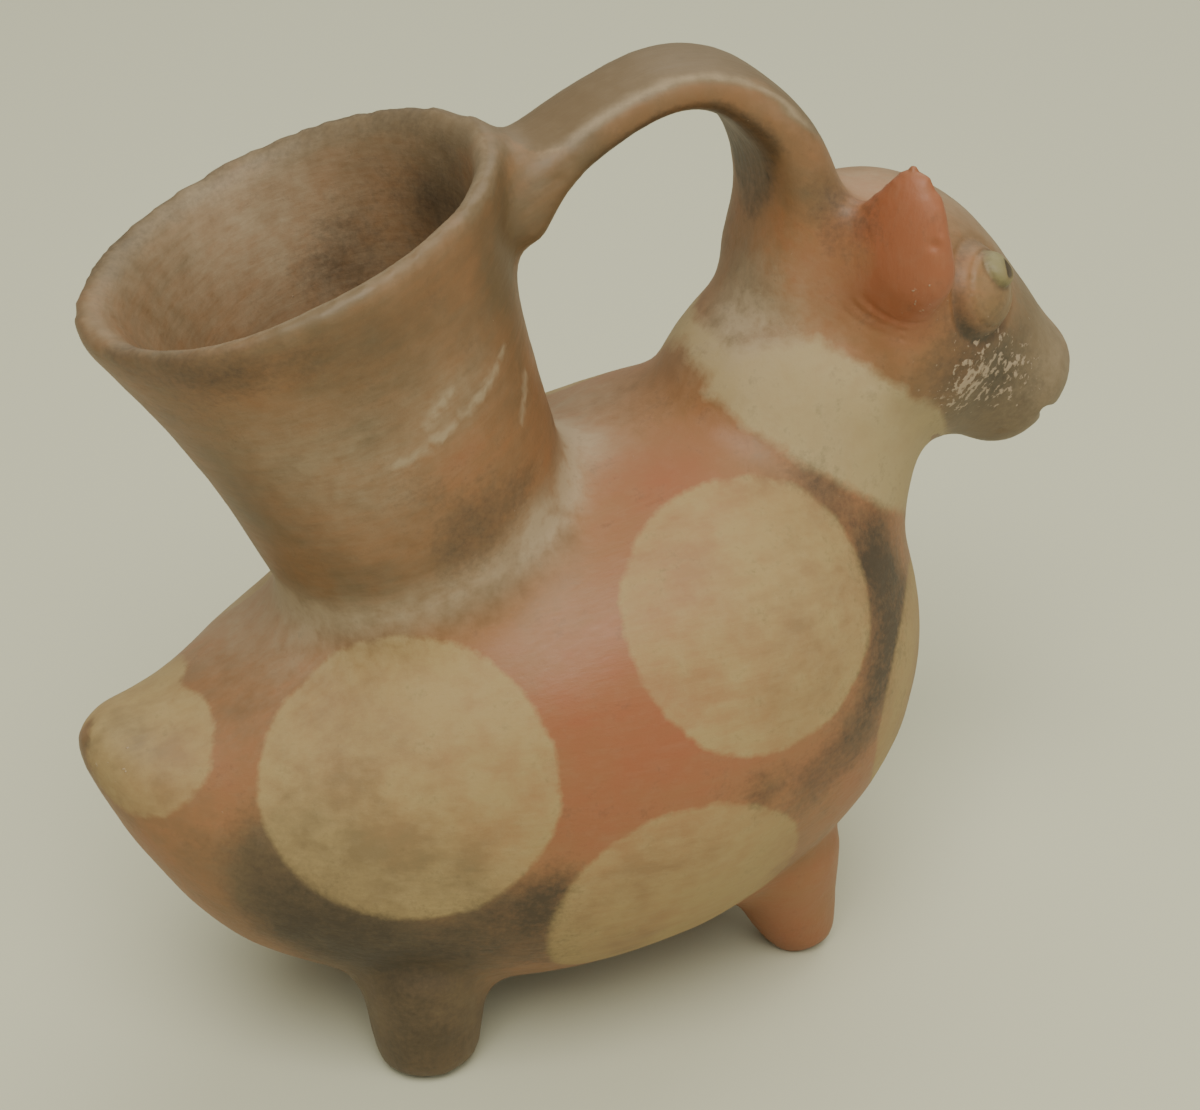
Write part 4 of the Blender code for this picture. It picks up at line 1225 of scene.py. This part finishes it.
    # Relief too fine to model: strokes 0.08 mm deep, grit, and flecks that stand out
    lift = hair
    for part, times in ((stroke, 0.5), (speck, 0.5), (flecks, 2.0)):
        lift = node(tree, "ShaderNodeMath", {0: part, 1: times, 2: lift}, operation="MULTIPLY_ADD").outputs[0]
    bump = node(tree, "ShaderNodeBump", {"Height": lift, "Distance": 0.08 * MM, "Strength": 0.8})
    tree.links.new(bump.outputs["Normal"], shader.inputs["Normal"])
    return made


def paper_floor(colours):
    """Matt seamless paper: even and pale, with no gloss."""
    made = bpy.data.materials.new("matt backdrop paper")
    made.use_nodes = True
    shader = made.node_tree.nodes["Principled BSDF"]
    shader.inputs["Base Color"].default_value = tuple(colours.floor_colour)
    shader.inputs["Roughness"].default_value = 0.9
    return made


# Operators


class ModelBottle(bpy.types.Operator):
    """Fuses, hollows, rubs and marks the bottle, and gives it its slips"""

    bl_idname = "effigy.model_bottle"
    bl_label = "Model the bottle"

    def execute(self, context):
        form = context.scene.effigy_form
        clay = [body(form), spout(form), spout_root(form), neck(form), head(form), handle(form), *legs(form)]
        clay += [ear(form, side) for side in (-1, 1)]
        bottle = skins("bottle", clay)
        fuse(bottle, form.grain)
        rub_joints(form, bottle.data)
        hollows = [body(form, form.wall), bore(form), neck(form, form.wall), head(form, form.wall)]
        hollows += [ear_hollow(form, side) for side in (-1, 1)]
        hollow = skins("hollow", hollows)
        fuse(hollow, form.grain)
        cut = bottle.modifiers.new("hollow", "BOOLEAN")
        cut.operation = "DIFFERENCE"
        cut.object = hollow
        apply_modifiers(bottle)
        bpy.data.objects.remove(hollow)
        fuse(bottle, form.grain)
        rub(bottle.data, np.ones(len(bottle.data.vertices)), SKIN_PASSES)
        foot, up = spout_axis(form)
        mouth = foot + form.spout_length * up
        points = read(bottle.data.vertices, "co")
        rub(bottle.data, ring_weight(points, mouth, up, form.spout_lip_radius, LIP_REACH), LIP_PASSES)
        thin_out_inside(form, bottle, INSIDE_KEPT)

        # Finer faces over the head, and finer again round the eyes
        mesh = bottle.data
        above = (read(mesh.polygons, "center") - body_point(form, *FACE_PLACE)) @ unit(head_axes(form)[2])
        refine(mesh, above > 0)
        for side in (-1, 1):
            eye = on_head(form, form.eye_place, side, form.eye_turn)[0]
            away = np.linalg.norm(read(mesh.polygons, "center") - eye, axis=1)
            refine(mesh, away < 1.5 * form.eye_radius)
        model_relief(form, mesh)
        mark_slips(form, mesh)
        mesh.shade_smooth()
        mesh.materials.clear()
        mesh.materials.append(burnished_slip(context.scene.slip_colours))
        print("bottle faces", len(mesh.polygons), "triangles", sum(len(p.vertices) - 2 for p in mesh.polygons))
        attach(bottle, "root")
        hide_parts("effigy_bottle")
        return {"FINISHED"}


# The lights: each one's name and power, its place from the bottle's middle and its width
LIGHTS = (
    ("window light", "window_power", (-0.35, -0.75, 1.4), 1.0),
    ("soft front light", "front_power", (0.9, -1.2, 0.7), 1.4),
    ("ceiling light", "ceiling_power", (1.1, 1.2, 2.3), 2.6),
)
FLOOR_REACH = 4.0
# The photo's camera: its place, and its own right, up and back directions
VIEWPOINT = (-0.140852, -0.353382, 0.311140)
VIEW_TURN = ((0.92374, -0.38273, -0.01468), (0.20884, 0.47117, 0.85696), (-0.32107, -0.79468, 0.51517))
LENS_MM = 75.0
SENSOR_MM = 36.0


class SetStage(bpy.types.Operator):
    """Lays the floor and sets the lights and the camera"""

    bl_idname = "effigy.set_stage"
    bl_label = "Set the stage"

    def execute(self, context):
        studio = context.scene.studio_setting
        floor = new_object("floor", bpy.data.meshes.new("floor"))
        corners = np.array([(-1, -1, 0), (1, -1, 0), (1, 1, 0), (-1, 1, 0)]) * FLOOR_REACH
        floor.data.from_pydata(corners, [], [(0, 1, 2, 3)])
        floor.data.materials.append(paper_floor(studio))
        centre = (CAD_LOW + CAD_HIGH) / 2
        for name, power_name, place, width in LIGHTS:
            lamp = bpy.data.lights.new(name, "AREA")
            lamp.energy = getattr(studio, power_name)
            lamp.size = width
            lamp.color = studio.light_colour[:3]
            light = new_object(name, lamp)
            light.location = centre + Vector(place)
            light.rotation_mode = "QUATERNION"
            light.rotation_quaternion = (centre - light.location).to_track_quat("-Z", "Y")
        world = bpy.data.worlds.new("room")
        world.use_nodes = True
        background = world.node_tree.nodes["Background"]
        background.inputs["Color"].default_value = tuple(studio.room_colour)
        background.inputs["Strength"].default_value = studio.fill_strength
        context.scene.world = world
        camera = bpy.data.cameras.new("camera")
        camera.lens = LENS_MM
        camera.sensor_width = SENSOR_MM
        camera.clip_start = 0.01
        viewer = new_object("camera", camera)
        viewer.matrix_world = Matrix.Translation(VIEWPOINT) @ Matrix(VIEW_TURN).transposed().to_4x4()
        context.scene.camera = viewer
        return {"FINISHED"}


class BottlePanel(bpy.types.Panel):
    """Lists the steps that make the bottle, with its sizes and colours."""

    bl_idname = "VIEW3D_PT_effigy_bottle"
    bl_label = "Effigy Bottle"
    bl_space_type = "VIEW_3D"
    bl_region_type = "UI"
    bl_category = "Effigy Bottle"

    def draw(self, context):
        for operator in OPERATORS:
            self.layout.operator(operator.bl_idname)
        for name in SETTINGS:
            settings = getattr(context.scene, name)
            box = self.layout.box()
            for key in settings.bl_rna.properties.keys():
                if key not in ("name", "rna_type"):
                    box.prop(settings, key)


OPERATORS = (ModelBottle, SetStage)
SETTINGS = {"effigy_form": BottleForm, "slip_colours": SlipColours, "studio_setting": StudioSetting}


def register():
    for made in (*SETTINGS.values(), *OPERATORS, BottlePanel):
        bpy.utils.register_class(made)
    for name, kind in SETTINGS.items():
        setattr(bpy.types.Scene, name, bpy.props.PointerProperty(type=kind))


def unregister():
    for name in SETTINGS:
        delattr(bpy.types.Scene, name)
    for made in reversed((*SETTINGS.values(), *OPERATORS, BottlePanel)):
        bpy.utils.unregister_class(made)


def main():
    register()
    bpy.ops.effigy.model_bottle()
    bpy.ops.effigy.set_stage()


if __name__ == "__main__":
    main()
